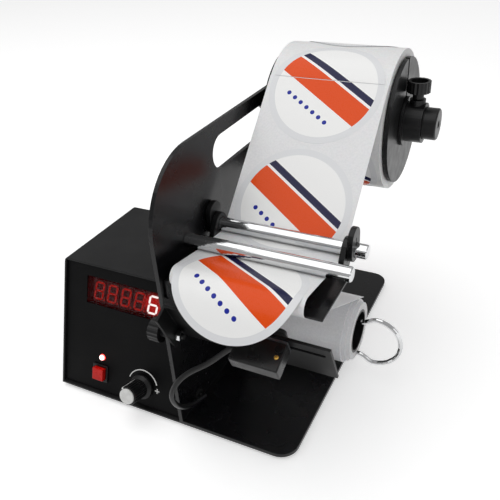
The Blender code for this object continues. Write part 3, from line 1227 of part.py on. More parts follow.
def clamp_knob(axis, thread_end):
    """The thumb screw that clamps the arm, its head on the left of the side plate."""
    steps = THUMB_RIBS * 2
    neck = -SHEET - GAP
    head = neck - THUMB_NECK_HEIGHT
    end = head - THUMB_HEAD_HEIGHT
    ring = [((THUMB_HEAD - (THUMB_RIB_DEPTH if i % 2 else 0)) * math.cos(2 * math.pi * i / steps),
             (THUMB_HEAD - (THUMB_RIB_DEPTH if i % 2 else 0)) * math.sin(2 * math.pi * i / steps))
            for i in range(steps)]
    knob = prism("arm_knob", ring, end, head, "plastic_black", axis)
    stem = turned("arm_knob_stem", [(ARM_SCREW, thread_end), (ARM_SCREW, neck), (THUMB_NECK, neck),
                                    (THUMB_NECK, head - OVERRUN / 2), (0, head - OVERRUN / 2), (0, thread_end)],
                  "plastic_black", axis, sides=SMALL_SIDES)
    knob = join(knob, stem)
    boolean(knob, cylinder("arm_knob_dish_cut", THUMB_DISH, end - OVERRUN, end + THUMB_DISH_DEPTH, None, axis,
                           turn=SIDEWAYS, sides=SMALL_SIDES))
    return apply(knob)


def make_sensor(frame):
    """The photo sensor on its small angle bracket, clamped in the arm's slot."""
    left = SENSOR_RIGHT - SENSOR_LENGTH
    top = ARM_TOP - GAP
    under = top - SENSOR_HEIGHT
    back = TAB_BACK - GAP - CARRIER_SHEET - GAP
    body = box("photo_sensor", (left, back - SENSOR_DEPTH, under), (SENSOR_RIGHT, back, top), "plastic_black", frame)
    body = bevel(body, SENSOR_EDGE)
    middle = (left + SENSOR_RIGHT) / 2
    holes = [middle - SENSOR_SCREW_SPREAD, middle + SENSOR_SCREW_SPREAD]
    for i, x in enumerate(holes):
        boolean(body, cylinder(f"sensor_hole_cut_{i}", SENSOR_SCREW + GAP, under - OVERRUN, top + OVERRUN, None,
                               frame, centre=(x, back - SENSOR_SCREW_BACK), sides=16))
    smooth(apply(body))
    plate_top = under - GAP
    leg = box("sensor_bracket", (left + SENSOR_EDGE, back - CARRIER_LEG, plate_top - CARRIER_SHEET),
              (SENSOR_RIGHT - SENSOR_EDGE, TAB_BACK - GAP, plate_top), "steel_grey", frame)
    wall = box("bracket_wall", (left + SENSOR_EDGE, back + GAP, plate_top - CARRIER_SHEET / 2),
               (SENSOR_RIGHT - SENSOR_EDGE, TAB_BACK - GAP, top - SENSOR_EDGE), "steel_grey", frame)
    leg = join(leg, wall)
    for i, x in enumerate(holes):
        boolean(leg, cylinder(f"bracket_hole_cut_{i}", SENSOR_SCREW + GAP, under - OVERRUN, top + OVERRUN, None,
                              frame, centre=(x, back - SENSOR_SCREW_BACK), sides=16))
    slot_z = ARM_TOP - SLOT_DROP
    boolean(leg, cylinder("bracket_clamp_cut", CLAMP_SCREW + GAP, -TAB_BACK - OVERRUN, OVERRUN, None, frame,
                          centre=(CLAMP_X, slot_z), turn=LENGTHWAYS, sides=16))
    apply(leg)
    for i, x in enumerate(holes, 1):
        seat = top + GAP
        profile = [(0, seat + SENSOR_SCREW_HEAD_HEIGHT), (SENSOR_SCREW_HEAD, seat + SENSOR_SCREW_HEAD_HEIGHT),
                   (SENSOR_SCREW_HEAD, seat), (SENSOR_SCREW, seat), (SENSOR_SCREW, plate_top - CARRIER_SHEET),
                   (0, plate_top - CARRIER_SHEET)]
        smooth(turned(f"sensor_screw_{i}", profile, "zinc", frame, turn=(0, 0, 0), sides=16,
                      location=(x, back - SENSOR_SCREW_BACK, 0)))
    rear = TAB_BACK + ARM_SHEET
    inner = back + GAP + GAP
    profile = [(CLAMP_KNOB * CLAMP_DOME_SHARE, -rear - GAP - CLAMP_KNOB_HEIGHT), (CLAMP_KNOB, -rear - GAP - CLAMP_KNOB_HEIGHT / 2),
               (CLAMP_KNOB, -rear - GAP), (CLAMP_SCREW, -rear - GAP), (CLAMP_SCREW, -inner), (0, -inner),
               (0, -rear - GAP - CLAMP_KNOB_HEIGHT)]
    smooth(turned("sensor_clamp_nut", profile[::-1], "plastic_black", frame, turn=LENGTHWAYS, sides=SMALL_SIDES,
                  location=(CLAMP_X, 0, slot_z)))
    return frame


SENSOR_EDGE = 0.8 * MM
CABLE_STEP = 9.0 * MM
CABLE_SPLIT_SHARE = 0.5
CABLE_ROUTE = ((40.0 * MM, -16.1 * MM, 91.9 * MM), (26.0 * MM, -20.5 * MM, 81.8 * MM),
               (18.0 * MM, -24.2 * MM, 72.9 * MM), (13.5 * MM, -25.7 * MM, 61.8 * MM),
               (12.0 * MM, -21.2 * MM, 48.8 * MM), (11.0 * MM, -12.1 * MM, 37.0 * MM),
               (9.5 * MM, 0.5 * MM, 26.6 * MM), (7.0 * MM, 12.6 * MM, 18.3 * MM))
CABLE_EXIT_Y = -7.4 * MM
CABLE_EXIT_Z = 22.6 * MM
CABLE_STRAIGHT = 4.0 * MM


def make_grommet():
    profile = [(GROMMET_FLANGE, GAP + GROMMET_FLANGE_SHEET), (GROMMET_FLANGE, GAP), (GROMMET_HOLE, GAP),
               (GROMMET_HOLE, -SHEET - GAP), (0, -SHEET - GAP), (0, GAP + GROMMET_FLANGE_SHEET)]
    smooth(turned("cable_grommet", profile, "rubber_black", MACHINE, sides=SMALL_SIDES,
                  location=(0, GROMMET_Y, GROMMET_Z)))


def arm_point(across, deep, up):
    """A place given in the arm's own leaning frame, in the machine's frame."""
    cosine, sine = math.cos(ARM_LEAN), math.sin(ARM_LEAN)
    return Vector((across, ARM[0] + cosine * deep - sine * up, ARM[1] + sine * deep + cosine * up))


def smooth_curve(route, step):
    """Points at even steps along a curve that passes smoothly through the route's points."""
    dense = []
    for i in range(len(route) - 1):
        p0, p1 = route[max(i - 1, 0)], route[i]
        p2, p3 = route[i + 1], route[min(i + 2, len(route) - 1)]
        for k in range(24):
            t = k / 24
            dense.append(0.5 * (2 * p1 + (p2 - p0) * t + (2 * p0 - 5 * p1 + 4 * p2 - p3) * t ** 2
                                + (3 * p1 - p0 - 3 * p2 + p3) * t ** 3))
    dense.append(route[-1])
    lengths = [0.0]
    for a, b in zip(dense, dense[1:]):
        lengths.append(lengths[-1] + (b - a).length)
    count = max(2, round(lengths[-1] / step))
    points, k = [], 0
    for i in range(count + 1):
        wanted = lengths[-1] * i / count
        while k < len(dense) - 2 and lengths[k + 1] < wanted:
            k += 1
        share = (wanted - lengths[k]) / (lengths[k + 1] - lengths[k])
        points.append(dense[k].lerp(dense[k + 1], share))
    return points


def make_cable():
    """The sensor's cable in two lengths: one from the grommet, one from the sensor, met end to end."""
    left = SENSOR_RIGHT - SENSOR_LENGTH
    start = arm_point(left - GAP, CABLE_EXIT_Y, CABLE_EXIT_Z)
    end = Vector((GAP * 2 + GROMMET_FLANGE_SHEET, GROMMET_Y, GROMMET_Z))
    aside = Vector((CABLE_STRAIGHT, 0, 0))
    route = [start, start - aside] + [Vector(p) for p in CABLE_ROUTE] + [end + aside, end]
    points = smooth_curve(route, CABLE_STEP)
    points = [start, start - aside / 2] + points[1:-1] + [end + aside / 2, end]
    split = round((len(points) - 1) * CABLE_SPLIT_SHARE)
    along = (points[split + 1] - points[split - 1]).normalized()
    upper = points[:split] + [points[split] - along * reach for reach in (CABLE_RADIUS, GAP / 2)]
    lower = [points[split] + along * reach for reach in (GAP / 2, CABLE_RADIUS)] + points[split + 1:]
    smooth(tube("sensor_cable_b", upper, CABLE_RADIUS, "plastic_black", MACHINE, 2))
    smooth(tube("sensor_cable_a", lower, CABLE_RADIUS, "plastic_black", MACHINE, 2))


def centre_footprint():
    """Move the machine's frame so that the footprint, cable apart, is centred on the origin."""
    bpy.context.view_layer.update()
    corners = [obj.matrix_world @ v.co for obj in PARTS.objects
               if obj.type == "MESH" and not obj.name.startswith("sensor_cable") for v in obj.data.vertices]
    for axis in (0, 1):
        values = [corner[axis] for corner in corners]
        MACHINE.location[axis] = -(min(values) + max(values)) / 2


make_chassis()
make_feet()
make_cover()
make_box_floor()
make_cover_screws()
make_front_panel()
make_display()
make_led()
make_button()
make_speed_control()
make_rear_panel()
make_inlet()
make_rocker()
make_control_board()
make_drive()
make_rods()
make_peel_plate()
make_web()
make_peeled_label()
make_guides()
make_supply()
make_rewind()
ARM_FRAME, _ = make_arm()
make_sensor(ARM_FRAME)
make_grommet()
make_cable()
centre_footprint()
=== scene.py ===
"""Label dispenser machine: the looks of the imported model, its print, lamps and finishes."""

import math

import bmesh
import bpy
from mathutils import Matrix, Vector


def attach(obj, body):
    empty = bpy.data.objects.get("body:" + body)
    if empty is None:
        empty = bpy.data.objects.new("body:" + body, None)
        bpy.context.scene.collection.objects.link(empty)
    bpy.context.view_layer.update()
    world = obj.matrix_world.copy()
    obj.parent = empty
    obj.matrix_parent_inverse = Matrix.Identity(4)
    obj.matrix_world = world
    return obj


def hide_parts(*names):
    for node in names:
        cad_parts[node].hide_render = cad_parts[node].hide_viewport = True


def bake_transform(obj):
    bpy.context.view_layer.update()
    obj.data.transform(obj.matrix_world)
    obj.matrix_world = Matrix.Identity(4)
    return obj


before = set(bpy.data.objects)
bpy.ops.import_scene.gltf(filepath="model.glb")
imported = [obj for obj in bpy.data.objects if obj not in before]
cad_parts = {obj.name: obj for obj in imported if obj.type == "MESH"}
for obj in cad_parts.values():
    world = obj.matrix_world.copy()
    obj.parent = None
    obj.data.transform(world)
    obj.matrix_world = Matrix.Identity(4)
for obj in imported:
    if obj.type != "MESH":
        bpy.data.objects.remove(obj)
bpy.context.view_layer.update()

MM = 0.001
MACHINE_SHIFT = Vector((-9.054, -113.45, 0.0))


def at(x, y, z):
    """A place in the machine's own millimetres, as metres in the row frame."""
    return (Vector((x, y, z)) + MACHINE_SHIFT) * MM


def leaning(x, y, z, turn):
    """A frame at a machine place, turned about the X axis by so many degrees."""
    return Matrix.Translation(at(x, y, z)) @ Matrix.Rotation(math.radians(turn), 4, "X")


PANEL = leaning(0, 2.104, 3.0, 71.93)
ARM = leaning(0, 3.8, 88.5, 25.0)


# The camera stands where the photograph was taken from
CAMERA_PLACE = (0.201257, -0.390034, 0.363339)
CAMERA_YAW = math.radians(27.580)
CAMERA_PITCH = math.radians(31.204)
CAMERA_ROLL = math.radians(-3.054)
CAMERA_LENS = 44.97
CAMERA_SENSOR = 36.0


def make_camera():
    lens = bpy.data.cameras.new("photo_camera")
    lens.lens, lens.sensor_width = CAMERA_LENS, CAMERA_SENSOR
    lens.clip_start, lens.clip_end = 0.01, 20.0
    camera = bpy.data.objects.new("photo_camera", lens)
    bpy.context.scene.collection.objects.link(camera)
    yaw, pitch, roll = CAMERA_YAW, CAMERA_PITCH, CAMERA_ROLL
    back = Vector((math.sin(yaw) * math.cos(pitch), -math.cos(yaw) * math.cos(pitch), math.sin(pitch)))
    right = Vector((math.cos(yaw), math.sin(yaw), 0))
    up = back.cross(right)
    across = math.cos(roll) * right + math.sin(roll) * up
    upward = -math.sin(roll) * right + math.cos(roll) * up
    camera.matrix_world = Matrix((across, upward, back)).transposed().to_4x4()
    camera.matrix_world.translation = Vector(CAMERA_PLACE)
    bpy.context.scene.camera = camera


make_camera()


# Small helpers: colour, nodes, meshes
def linear(shade):
    """An sRGB hex colour as linear light, with full opacity."""
    channels = [int(shade[i:i + 2], 16) / 255 for i in (1, 3, 5)]
    return (*[c / 12.92 if c <= 0.04045 else ((c + 0.055) / 1.055) ** 2.4 for c in channels], 1.0)


def per_mm(size):
    """How many repeats a pattern has in a metre when one is so many millimetres."""
    return 1 / (size * MM)


def add(tree, kind, inputs=None, **settings):
    """Adds a node with its settings; an input takes a value or the socket that feeds it."""
    node = tree.nodes.new("ShaderNode" + kind)
    for key, value in settings.items():
        setattr(node, key, value)
    for key, value in (inputs or {}).items():
        if isinstance(value, bpy.types.NodeSocket):
            tree.links.new(value, node.inputs[key])
        else:
            node.inputs[key].default_value = value
    return node


def new_finish(name, **surface):
    """A material with its main shader, whose sockets are set by their names with _ for a space."""
    made = bpy.data.materials.new(name)
    made.use_nodes = True
    tree = made.node_tree
    shader = next(n for n in tree.nodes if n.type == "BSDF_PRINCIPLED")
    for key, value in surface.items():
        shader.inputs[key.replace("_", " ").capitalize() if key.islower() else key].default_value = value
    return made, tree, shader


def feed(tree, shader, socket, source):
    tree.links.new(source, shader.inputs[socket])


def piece(name, mesh, look, body, soft_edges=None, replaces=()):
    """Puts a finished mesh in the scene on its body, in its finish."""
    mesh.validate()
    mesh.update()
    made = bpy.data.objects.new(name, mesh)
    bpy.context.scene.collection.objects.link(made)
    if not mesh.materials:
        mesh.materials.append(look)
    if soft_edges is not None:
        mesh.shade_smooth()
        mesh.set_sharp_from_angle(angle=math.radians(soft_edges))
    if replaces:
        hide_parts(*replaces)
    if body:
        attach(made, body)
    return made


def mesh_of(name, points, faces, place=None):
    mesh = bpy.data.meshes.new(name)
    mesh.from_pydata([place @ (Vector(p) * MM) if place else Vector(p) for p in points], [], faces)
    return mesh


def slab(outlines, low, high, edge=0.0):
    """Flat pieces cut to outlines in millimetres, from one height to another, with a small bevel."""
    points, faces = [], []
    for outline in outlines:
        first, count = len(points), len(outline)
        rings = [(low, 0.0), (high - edge, 0.0), (high, edge)] if edge else [(low, 0.0), (high, 0.0)]
        middle = Vector((sum(p[0] for p in outline) / count, sum(p[1] for p in outline) / count))
        for height, inset in rings:
            for p in outline:
                away = Vector(p) - middle
                keep = max(0.0, 1 - inset / max(away.length, 1e-6))
                points.append((*(middle + away * keep), height))
        for ring in range(len(rings) - 1):
            base = first + ring * count
            for i in range(count):
                j = (i + 1) % count
                faces.append((base + i, base + j, base + count + j, base + count + i))
        faces.append(tuple(first + i for i in reversed(range(count))))
        faces.append(tuple(first + (len(rings) - 1) * count + i for i in range(count)))
    return points, faces


def revolved(profile, sides, place=None):
    """A closed solid of revolution about Z from (radius, height) points that start and end on the axis."""
    points, faces, rings = [], [], []
    for radius, height in profile:
        if radius <= 1e-9:
            rings.append([len(points)])
            points.append((0, 0, height))
        else:
            rings.append(list(range(len(points), len(points) + sides)))
            turns = [2 * math.pi * i / sides for i in range(sides)]
            points += [(radius * math.cos(t), radius * math.sin(t), height) for t in turns]
    for lower, upper in zip(rings, rings[1:]):
        for i in range(sides):
            j = (i + 1) % sides
            corners = [lower[i % len(lower)], lower[j % len(lower)],
                       upper[j % len(upper)], upper[i % len(upper)]]
            corners = list(dict.fromkeys(corners))
            if len(corners) > 2:
                faces.append(tuple(corners))
    return points, faces


def circle(centre, radius, sides, start=0.0, end=2 * math.pi):
    full = abs(end - start - 2 * math.pi) < 1e-6
    steps = sides if full else sides + 1
    return [(centre[0] + radius * math.cos(start + (end - start) * i / sides),
             centre[1] + radius * math.sin(start + (end - start) * i / sides)) for i in range(steps)]


def tube_along(path, radius, sides):
    """A round tube through points in metres, closed at both ends with a small rounding."""
    points, faces = [], []
    normal = Vector((0, 0, 1))
    rings = len(path)
    for i, here in enumerate(path):
        ahead = (path[min(i + 1, rings - 1)] - path[max(i - 1, 0)]).normalized()
        normal = (normal - ahead * normal.dot(ahead)).normalized()
        side = ahead.cross(normal)
        for k in range(sides):
            turn = 2 * math.pi * k / sides
            points.append(here + (normal * math.cos(turn) + side * math.sin(turn)) * radius)
    for i in range(rings - 1):
        for k in range(sides):
            n = (k + 1) % sides
            faces.append((i * sides + k, i * sides + n, (i + 1) * sides + n, (i + 1) * sides + k))
    faces.append(tuple(reversed(range(sides))))
    faces.append(tuple((rings - 1) * sides + k for k in range(sides)))
    return points, faces


def facing_out(mesh):
    work = bmesh.new()
    work.from_mesh(mesh)
    bmesh.ops.recalc_face_normals(work, faces=work.faces)
    work.to_mesh(mesh)
    work.free()
    return mesh


# Finishes. Each starts from what the real surface is made of.
EDGE_ROUNDING = 0.45 * MM
MOULDED_ROUNDING = 0.3 * MM
TURNED_ROUNDING = 0.25 * MM
# How large the marks in the finishes are, in millimetres
COAT_CLOUD, FLOW_MARK, PLATE_STAIN, PAPER_FIBRE = 34.0, 9.0, 14.0, 1.4
PAPER_CLOUD, RING_DRIFT, RING_BAND, FILM_WAVE = 16.0, 18.0, 1.7, 11.0
PRINT_GRAIN, ACRYLIC_CLOUD, HAIR_SCRATCH, LAMP_GRAIN = 0.5, 20.0, 0.4, 0.8
BLOCK_GRAIN, INK_WEAVE, PAPER_TOOTH, WEAR_PATCH = 0.6, 0.35, 2.0, 6.0


def rounded_edges(tree, radius=EDGE_ROUNDING):
    """A bent or moulded edge is never dead sharp: the shading turns over within half a millimetre."""
    return add(tree, "Bevel", {"Radius": radius}, samples=4).outputs["Normal"]


def worn_edges(tree, turned_normal, spread):
    """Where the rounded normal leaves the flat one, the coat is thin: 0 on flats, 1 on edges."""
    flat = add(tree, "NewGeometry").outputs["Normal"]
    along = add(tree, "VectorMath", {0: turned_normal, 1: flat}, operation="DOT_PRODUCT").outputs["Value"]
    away = add(tree, "Math", {0: 1.0, 1: along}, operation="SUBTRACT", use_clamp=True).outputs[0]
    place = add(tree, "TexCoord").outputs["Object"]
    patches = add(tree, "TexNoise", {"Vector": place, "Scale": per_mm(spread), "Detail": 4.0}).outputs[0]
    both = add(tree, "Math", {0: away, 1: patches}, operation="MULTIPLY").outputs[0]
    return add(tree, "MapRange", {"Value": both, "From Min": 0.02, "From Max": 0.14}).outputs[0]


def coated_steel(name, shade, worn, roughness, grain, bump, gloss=0.5):
    """Powder coat on bent sheet: a tight orange peel, duller patches, and edges rubbed a little pale."""
    made, tree, shader = new_finish(name, Roughness=roughness)
    shader.inputs["Specular IOR Level"].default_value = gloss
    place = add(tree, "TexCoord").outputs["Object"]
    peel = add(tree, "TexNoise", {"Vector": place, "Scale": per_mm(grain), "Detail": 3.0}).outputs[0]
    cloud = add(tree, "TexNoise", {"Vector": place, "Scale": per_mm(COAT_CLOUD), "Detail": 5.0}).outputs[0]
    soft = rounded_edges(tree)
    wear = worn_edges(tree, soft, WEAR_PATCH)
    tone = add(tree, "MixRGB", {"Fac": wear, "Color1": linear(shade), "Color2": linear(worn)}).outputs[0]
    speck = add(tree, "MapRange", {"Value": peel, "From Min": 0.35, "From Max": 0.75, "To Min": 0.82,
                                   "To Max": 1.25}).outputs[0]
    feed(tree, shader, "Base Color", add(tree, "MixRGB", {"Fac": 1.0, "Color1": tone, "Color2": speck},
                                         blend_type="MULTIPLY").outputs[0])
    feed(tree, shader, "Roughness", add(tree, "MapRange", {
        "Value": cloud, "From Min": 0.3, "From Max": 0.7, "To Min": roughness - 0.05,
        "To Max": roughness + 0.07}).outputs[0])
    feed(tree, shader, "Normal", add(tree, "Bump", {
        "Strength": 0.35, "Distance": bump * MM, "Height": peel, "Normal": soft}).outputs[0])
    return made


def moulded_plastic(name, shade, roughness, grain, bump, pale=1.35, gloss=0.3):
    """Injection-moulded ABS or nylon: an even spark-eroded grain, faint flow clouds, rounded edges that catch
    the light.
    """
    made, tree, shader = new_finish(name, Roughness=roughness)
    shader.inputs["Specular IOR Level"].default_value = gloss
    place = add(tree, "TexCoord").outputs["Object"]
    grit = add(tree, "TexVoronoi", {"Vector": place, "Scale": per_mm(grain)}).outputs["Distance"]
    flow = add(tree, "TexNoise", {"Vector": place, "Scale": per_mm(FLOW_MARK), "Detail": 3.0}).outputs[0]
    soft = rounded_edges(tree, MOULDED_ROUNDING)
    level = add(tree, "MapRange", {"Value": flow, "From Min": 0.3, "From Max": 0.7, "To Min": 0.85,
                                   "To Max": pale}).outputs[0]
    feed(tree, shader, "Base Color", add(tree, "MixRGB", {
        "Fac": 1.0, "Color1": linear(shade), "Color2": level}, blend_type="MULTIPLY").outputs[0])
    feed(tree, shader, "Roughness", add(tree, "MapRange", {
        "Value": flow, "From Min": 0.3, "From Max": 0.7, "To Min": roughness - 0.05,
        "To Max": roughness + 0.06}).outputs[0])
    feed(tree, shader, "Normal", add(tree, "Bump", {
        "Strength": 0.3, "Distance": bump * MM, "Height": grit, "Normal": soft}).outputs[0])
    return made


def plated_steel(name, shade, roughness, line, bump, axis):
    """Turned or drawn steel under chrome or zinc: fine lines round the bar and a few faint stains."""
    made, tree, shader = new_finish(name, Metallic=1.0, Roughness=roughness)
    place = add(tree, "TexCoord").outputs["Object"]
    stretch = {"x": (1.0, 0.02, 0.02), "none": (1.0, 1.0, 1.0)}[axis]
    lay = add(tree, "Mapping", {"Vector": place, "Scale": stretch}).outputs[0]
    lines = add(tree, "TexNoise", {"Vector": lay, "Scale": per_mm(line), "Detail": 2.0}).outputs[0]
    stain = add(tree, "TexNoise", {"Vector": place, "Scale": per_mm(PLATE_STAIN), "Detail": 4.0}).outputs[0]
    level = add(tree, "MapRange", {"Value": stain, "From Min": 0.35, "From Max": 0.75, "To Min": 1.0,
                                   "To Max": 0.84}).outputs[0]
    feed(tree, shader, "Base Color", add(tree, "MixRGB", {
        "Fac": 1.0, "Color1": linear(shade), "Color2": level}, blend_type="MULTIPLY").outputs[0])
    feed(tree, shader, "Roughness", add(tree, "MapRange", {
        "Value": stain, "From Min": 0.35, "From Max": 0.7, "To Min": roughness,
        "To Max": roughness * 1.7}).outputs[0])
    feed(tree, shader, "Normal", add(tree, "Bump", {
        "Strength": 0.25, "Distance": bump * MM, "Height": lines,
        "Normal": rounded_edges(tree, TURNED_ROUNDING)}).outputs[0])
    return made


def glassine(name, shade, shadow, axis=None, layer=0.6):
    """Silicone-coated glassine: dense, slightly glossy, clouded by its fibres; wound, its edges are rings,
    with painted shade between some of the turns.
    """
    made, tree, shader = new_finish(name, Roughness=0.42)
    shader.inputs["Subsurface Weight"].default_value = 0.06
    shader.inputs["Subsurface Scale"].default_value = 0.6 * MM
    place = add(tree, "TexCoord").outputs["Object"]
    fibre = add(tree, "TexNoise", {"Vector": place, "Scale": per_mm(PAPER_FIBRE), "Detail": 6.0}).outputs[0]
    cloud = add(tree, "TexNoise", {"Vector": place, "Scale": per_mm(PAPER_CLOUD), "Detail": 3.0}).outputs[0]
    tone = add(tree, "MapRange", {"Value": fibre, "From Min": 0.35, "From Max": 0.65, "To Min": 0.0,
                                  "To Max": 0.35}).outputs[0]
    colour = add(tree, "MixRGB", {"Fac": tone, "Color1": linear(shade), "Color2": linear(shadow)}).outputs[0]
    height = fibre
    depth = 0.02
    if axis is not None:
        # One turn is about a quarter of a millimetre thick; the rings are drawn coarser so that they show
        flat = add(tree, "VectorMath", {0: place, 1: axis}, operation="SUBTRACT").outputs[0]
        flat = add(tree, "VectorMath", {0: flat, 1: (0, 1, 1)}, operation="MULTIPLY").outputs[0]
        radius = add(tree, "VectorMath", {0: flat}, operation="LENGTH").outputs["Value"]
        drift = add(tree, "TexNoise", {
            "Vector": place, "Scale": per_mm(RING_DRIFT), "Detail": 2.0}).outputs[0]
        drift = add(tree, "Math", {0: drift, 1: 0.8 * MM}, operation="MULTIPLY").outputs[0]
        radius = add(tree, "Math", {0: radius, 1: drift}, operation="ADD").outputs[0]
        turns = add(tree, "Math", {0: radius, 1: per_mm(layer) * 2 * math.pi},
                    operation="MULTIPLY").outputs[0]
        rings = add(tree, "Math", {0: turns}, operation="SINE").outputs[0]
        rare = add(tree, "TexNoise", {"W": radius, "Scale": per_mm(RING_BAND), "Detail": 2.0},
                   noise_dimensions="1D").outputs[0]
        side = add(tree, "SeparateXYZ", {0: add(tree, "TexCoord").outputs["Normal"]}).outputs[0]
        side = add(tree, "Math", {0: side}, operation="ABSOLUTE").outputs[0]
        side = add(tree, "Math", {0: side, 1: 0.5}, operation="GREATER_THAN").outputs[0]
        # Painted shade: on the flat sides some rings turn grey, standing in for the shade between the wound
        # turns.
        painted_ring_shade = add(tree, "MapRange", {"Value": rings, "From Min": -0.2, "From Max": 1.0}).outputs[0]
        painted_ring_shade = add(tree, "Math", {0: painted_ring_shade, 1: rare}, operation="MULTIPLY").outputs[0]
        painted_ring_shade = add(tree, "Math", {0: painted_ring_shade, 1: side}, operation="MULTIPLY").outputs[0]
        colour = add(tree, "MixRGB", {"Fac": painted_ring_shade, "Color1": colour, "Color2": linear("#9A9894")}).outputs[0]
        height = add(tree, "Math", {0: rings, 1: side}, operation="MULTIPLY").outputs[0]
        depth = 0.12
    feed(tree, shader, "Base Color", colour)
    feed(tree, shader, "Roughness", add(tree, "MapRange", {
        "Value": cloud, "From Min": 0.3, "From Max": 0.7, "To Min": 0.36, "To Max": 0.5}).outputs[0])
    feed(tree, shader, "Normal", add(tree, "Bump", {
        "Strength": 0.4, "Distance": depth * MM, "Height": height}).outputs[0])
    return made


BAND_TURN = math.radians(32.0)
BAND_HALF = 8.6
NAVY_INNER, NAVY_OUTER = 10.6, 15.6
DOT_ROW, DOT_PITCH, DOT_RADIUS, DOT_REACH = -19.0, 6.5, 1.7, 24.0
PRINT_RADIUS = 38.6


def printed_label():
    """Gloss film label: white ink inside a bare margin, with a slanting band, a bar and a row of dots."""
    made, tree, shader = new_finish("printed_gloss_label", Roughness=0.2)
    shader.inputs["Specular IOR Level"].default_value = 0.18
    shader.inputs["Coat Weight"].default_value = 0.12
    shader.inputs["Coat Roughness"].default_value = 0.08
    spot = add(tree, "Attribute", attribute_name="on_label").outputs["Vector"]
    lean = (math.cos(BAND_TURN), math.sin(BAND_TURN), 0)
    along = (-math.sin(BAND_TURN), math.cos(BAND_TURN), 0)
    across = add(tree, "VectorMath", {0: spot, 1: lean}, operation="DOT_PRODUCT").outputs["Value"]
    down = add(tree, "VectorMath", {0: spot, 1: along}, operation="DOT_PRODUCT").outputs["Value"]
    out = add(tree, "VectorMath", {0: spot}, operation="LENGTH").outputs["Value"]
    inside = add(tree, "Math", {0: out, 1: PRINT_RADIUS}, operation="LESS_THAN").outputs[0]
    colour = add(tree, "MixRGB", {"Fac": inside, "Color1": linear("#E6E7E9"),
                                  "Color2": linear("#FBFBFA")}).outputs[0]
    band = add(tree, "Math", {0: across, 1: 0.0, 2: BAND_HALF}, operation="COMPARE").outputs[0]
    bar = add(tree, "Math", {0: across, 1: (NAVY_INNER + NAVY_OUTER) / 2, 2: (NAVY_OUTER - NAVY_INNER) / 2},
              operation="COMPARE").outputs[0]
    cell = add(tree, "Math", {0: down, 1: DOT_PITCH / 2, 2: -DOT_PITCH / 2}, operation="WRAP").outputs[0]
    beside = add(tree, "Math", {0: across, 1: DOT_ROW}, operation="SUBTRACT").outputs[0]
    spread = add(tree, "CombineXYZ", {0: cell, 1: beside, 2: 0.0}).outputs[0]
    gap = add(tree, "VectorMath", {0: spread}, operation="LENGTH").outputs["Value"]
    dots = add(tree, "Math", {0: gap, 1: DOT_RADIUS}, operation="LESS_THAN").outputs[0]
    reach = add(tree, "Math", {0: down, 1: 0.0, 2: DOT_REACH}, operation="COMPARE").outputs[0]
    dots = add(tree, "Math", {0: dots, 1: reach}, operation="MULTIPLY").outputs[0]
    for ink, mask in (("#EA4E02", band), ("#1C1C44", bar), ("#1E2C9C", dots)):
        mask = add(tree, "Math", {0: mask, 1: inside}, operation="MULTIPLY").outputs[0]
        colour = add(tree, "MixRGB", {"Fac": mask, "Color1": colour, "Color2": linear(ink)}).outputs[0]
    feed(tree, shader, "Base Color", colour)
    place = add(tree, "TexCoord").outputs["Object"]
    wave = add(tree, "TexNoise", {"Vector": place, "Scale": per_mm(FILM_WAVE), "Detail": 2.0}).outputs[0]
    ink_grain = add(tree, "TexNoise", {
        "Vector": place, "Scale": per_mm(PRINT_GRAIN), "Detail": 2.0}).outputs[0]
    feed(tree, shader, "Roughness", add(tree, "MapRange", {
        "Value": ink_grain, "From Min": 0.3, "From Max": 0.7, "To Min": 0.24, "To Max": 0.36}).outputs[0])
    feed(tree, shader, "Normal", add(tree, "Bump", {
        "Strength": 0.3, "Distance": 0.25 * MM, "Height": wave}).outputs[0])
    return made


def red_acrylic():
    """Smoked red acrylic sheet: clear enough to read the digits through, glossy, with hairline scratches."""
    made, tree, shader = new_finish("smoked_red_acrylic", Roughness=0.06)
    shader.inputs["IOR"].default_value = 1.49
    shader.inputs["Alpha"].default_value = 0.32
    shader.inputs["Specular IOR Level"].default_value = 0.12
    place = add(tree, "TexCoord").outputs["Object"]
    cloud = add(tree, "TexNoise", {"Vector": place, "Scale": per_mm(ACRYLIC_CLOUD), "Detail": 2.0}).outputs[0]
    feed(tree, shader, "Base Color", add(tree, "MixRGB", {
        "Fac": cloud, "Color1": linear("#380000"), "Color2": linear("#440001")}).outputs[0])
    scratch = add(tree, "Mapping", {"Vector": place, "Scale": (1.0, 0.05, 0.05)}).outputs[0]
    scratch = add(tree, "TexNoise", {
        "Vector": scratch, "Scale": per_mm(HAIR_SCRATCH), "Detail": 2.0}).outputs[0]
    feed(tree, shader, "Roughness", add(tree, "MapRange", {
        "Value": scratch, "From Min": 0.4, "From Max": 0.8, "To Min": 0.05, "To Max": 0.16}).outputs[0])
    return made


def glowing(name, core, rim, strength, middle, reach, base="#300000"):
    """A glowing plastic part, for lamps and for the painted glow of unlit bars: brightest near its chip and
    falling off with distance, in its own grained body.
    """
    made, tree, shader = new_finish(name, Roughness=0.25)
    place = add(tree, "TexCoord").outputs["Object"]
    away = add(tree, "VectorMath", {0: place, 1: tuple(middle)}, operation="DISTANCE").outputs["Value"]
    grain = add(tree, "TexNoise", {"Vector": place, "Scale": per_mm(LAMP_GRAIN), "Detail": 2.0}).outputs[0]
    jitter = add(tree, "Math", {0: grain, 1: reach * 0.12 * MM}, operation="MULTIPLY").outputs[0]
    away = add(tree, "Math", {0: away, 1: jitter}, operation="ADD").outputs[0]
    fall = add(tree, "MapRange", {"Value": away, "From Min": reach * 0.45 * MM, "From Max": reach * MM},
               interpolation_type="SMOOTHSTEP").outputs[0]
    feed(tree, shader, "Base Color", add(tree, "MixRGB", {
        "Fac": grain, "Color1": linear(base), "Color2": linear("#420404")}).outputs[0])
    feed(tree, shader, "Emission Color", add(tree, "MixRGB", {
        "Fac": fall, "Color1": linear(core), "Color2": linear(rim)}).outputs[0])
    shader.inputs["Emission Strength"].default_value = strength
    return made


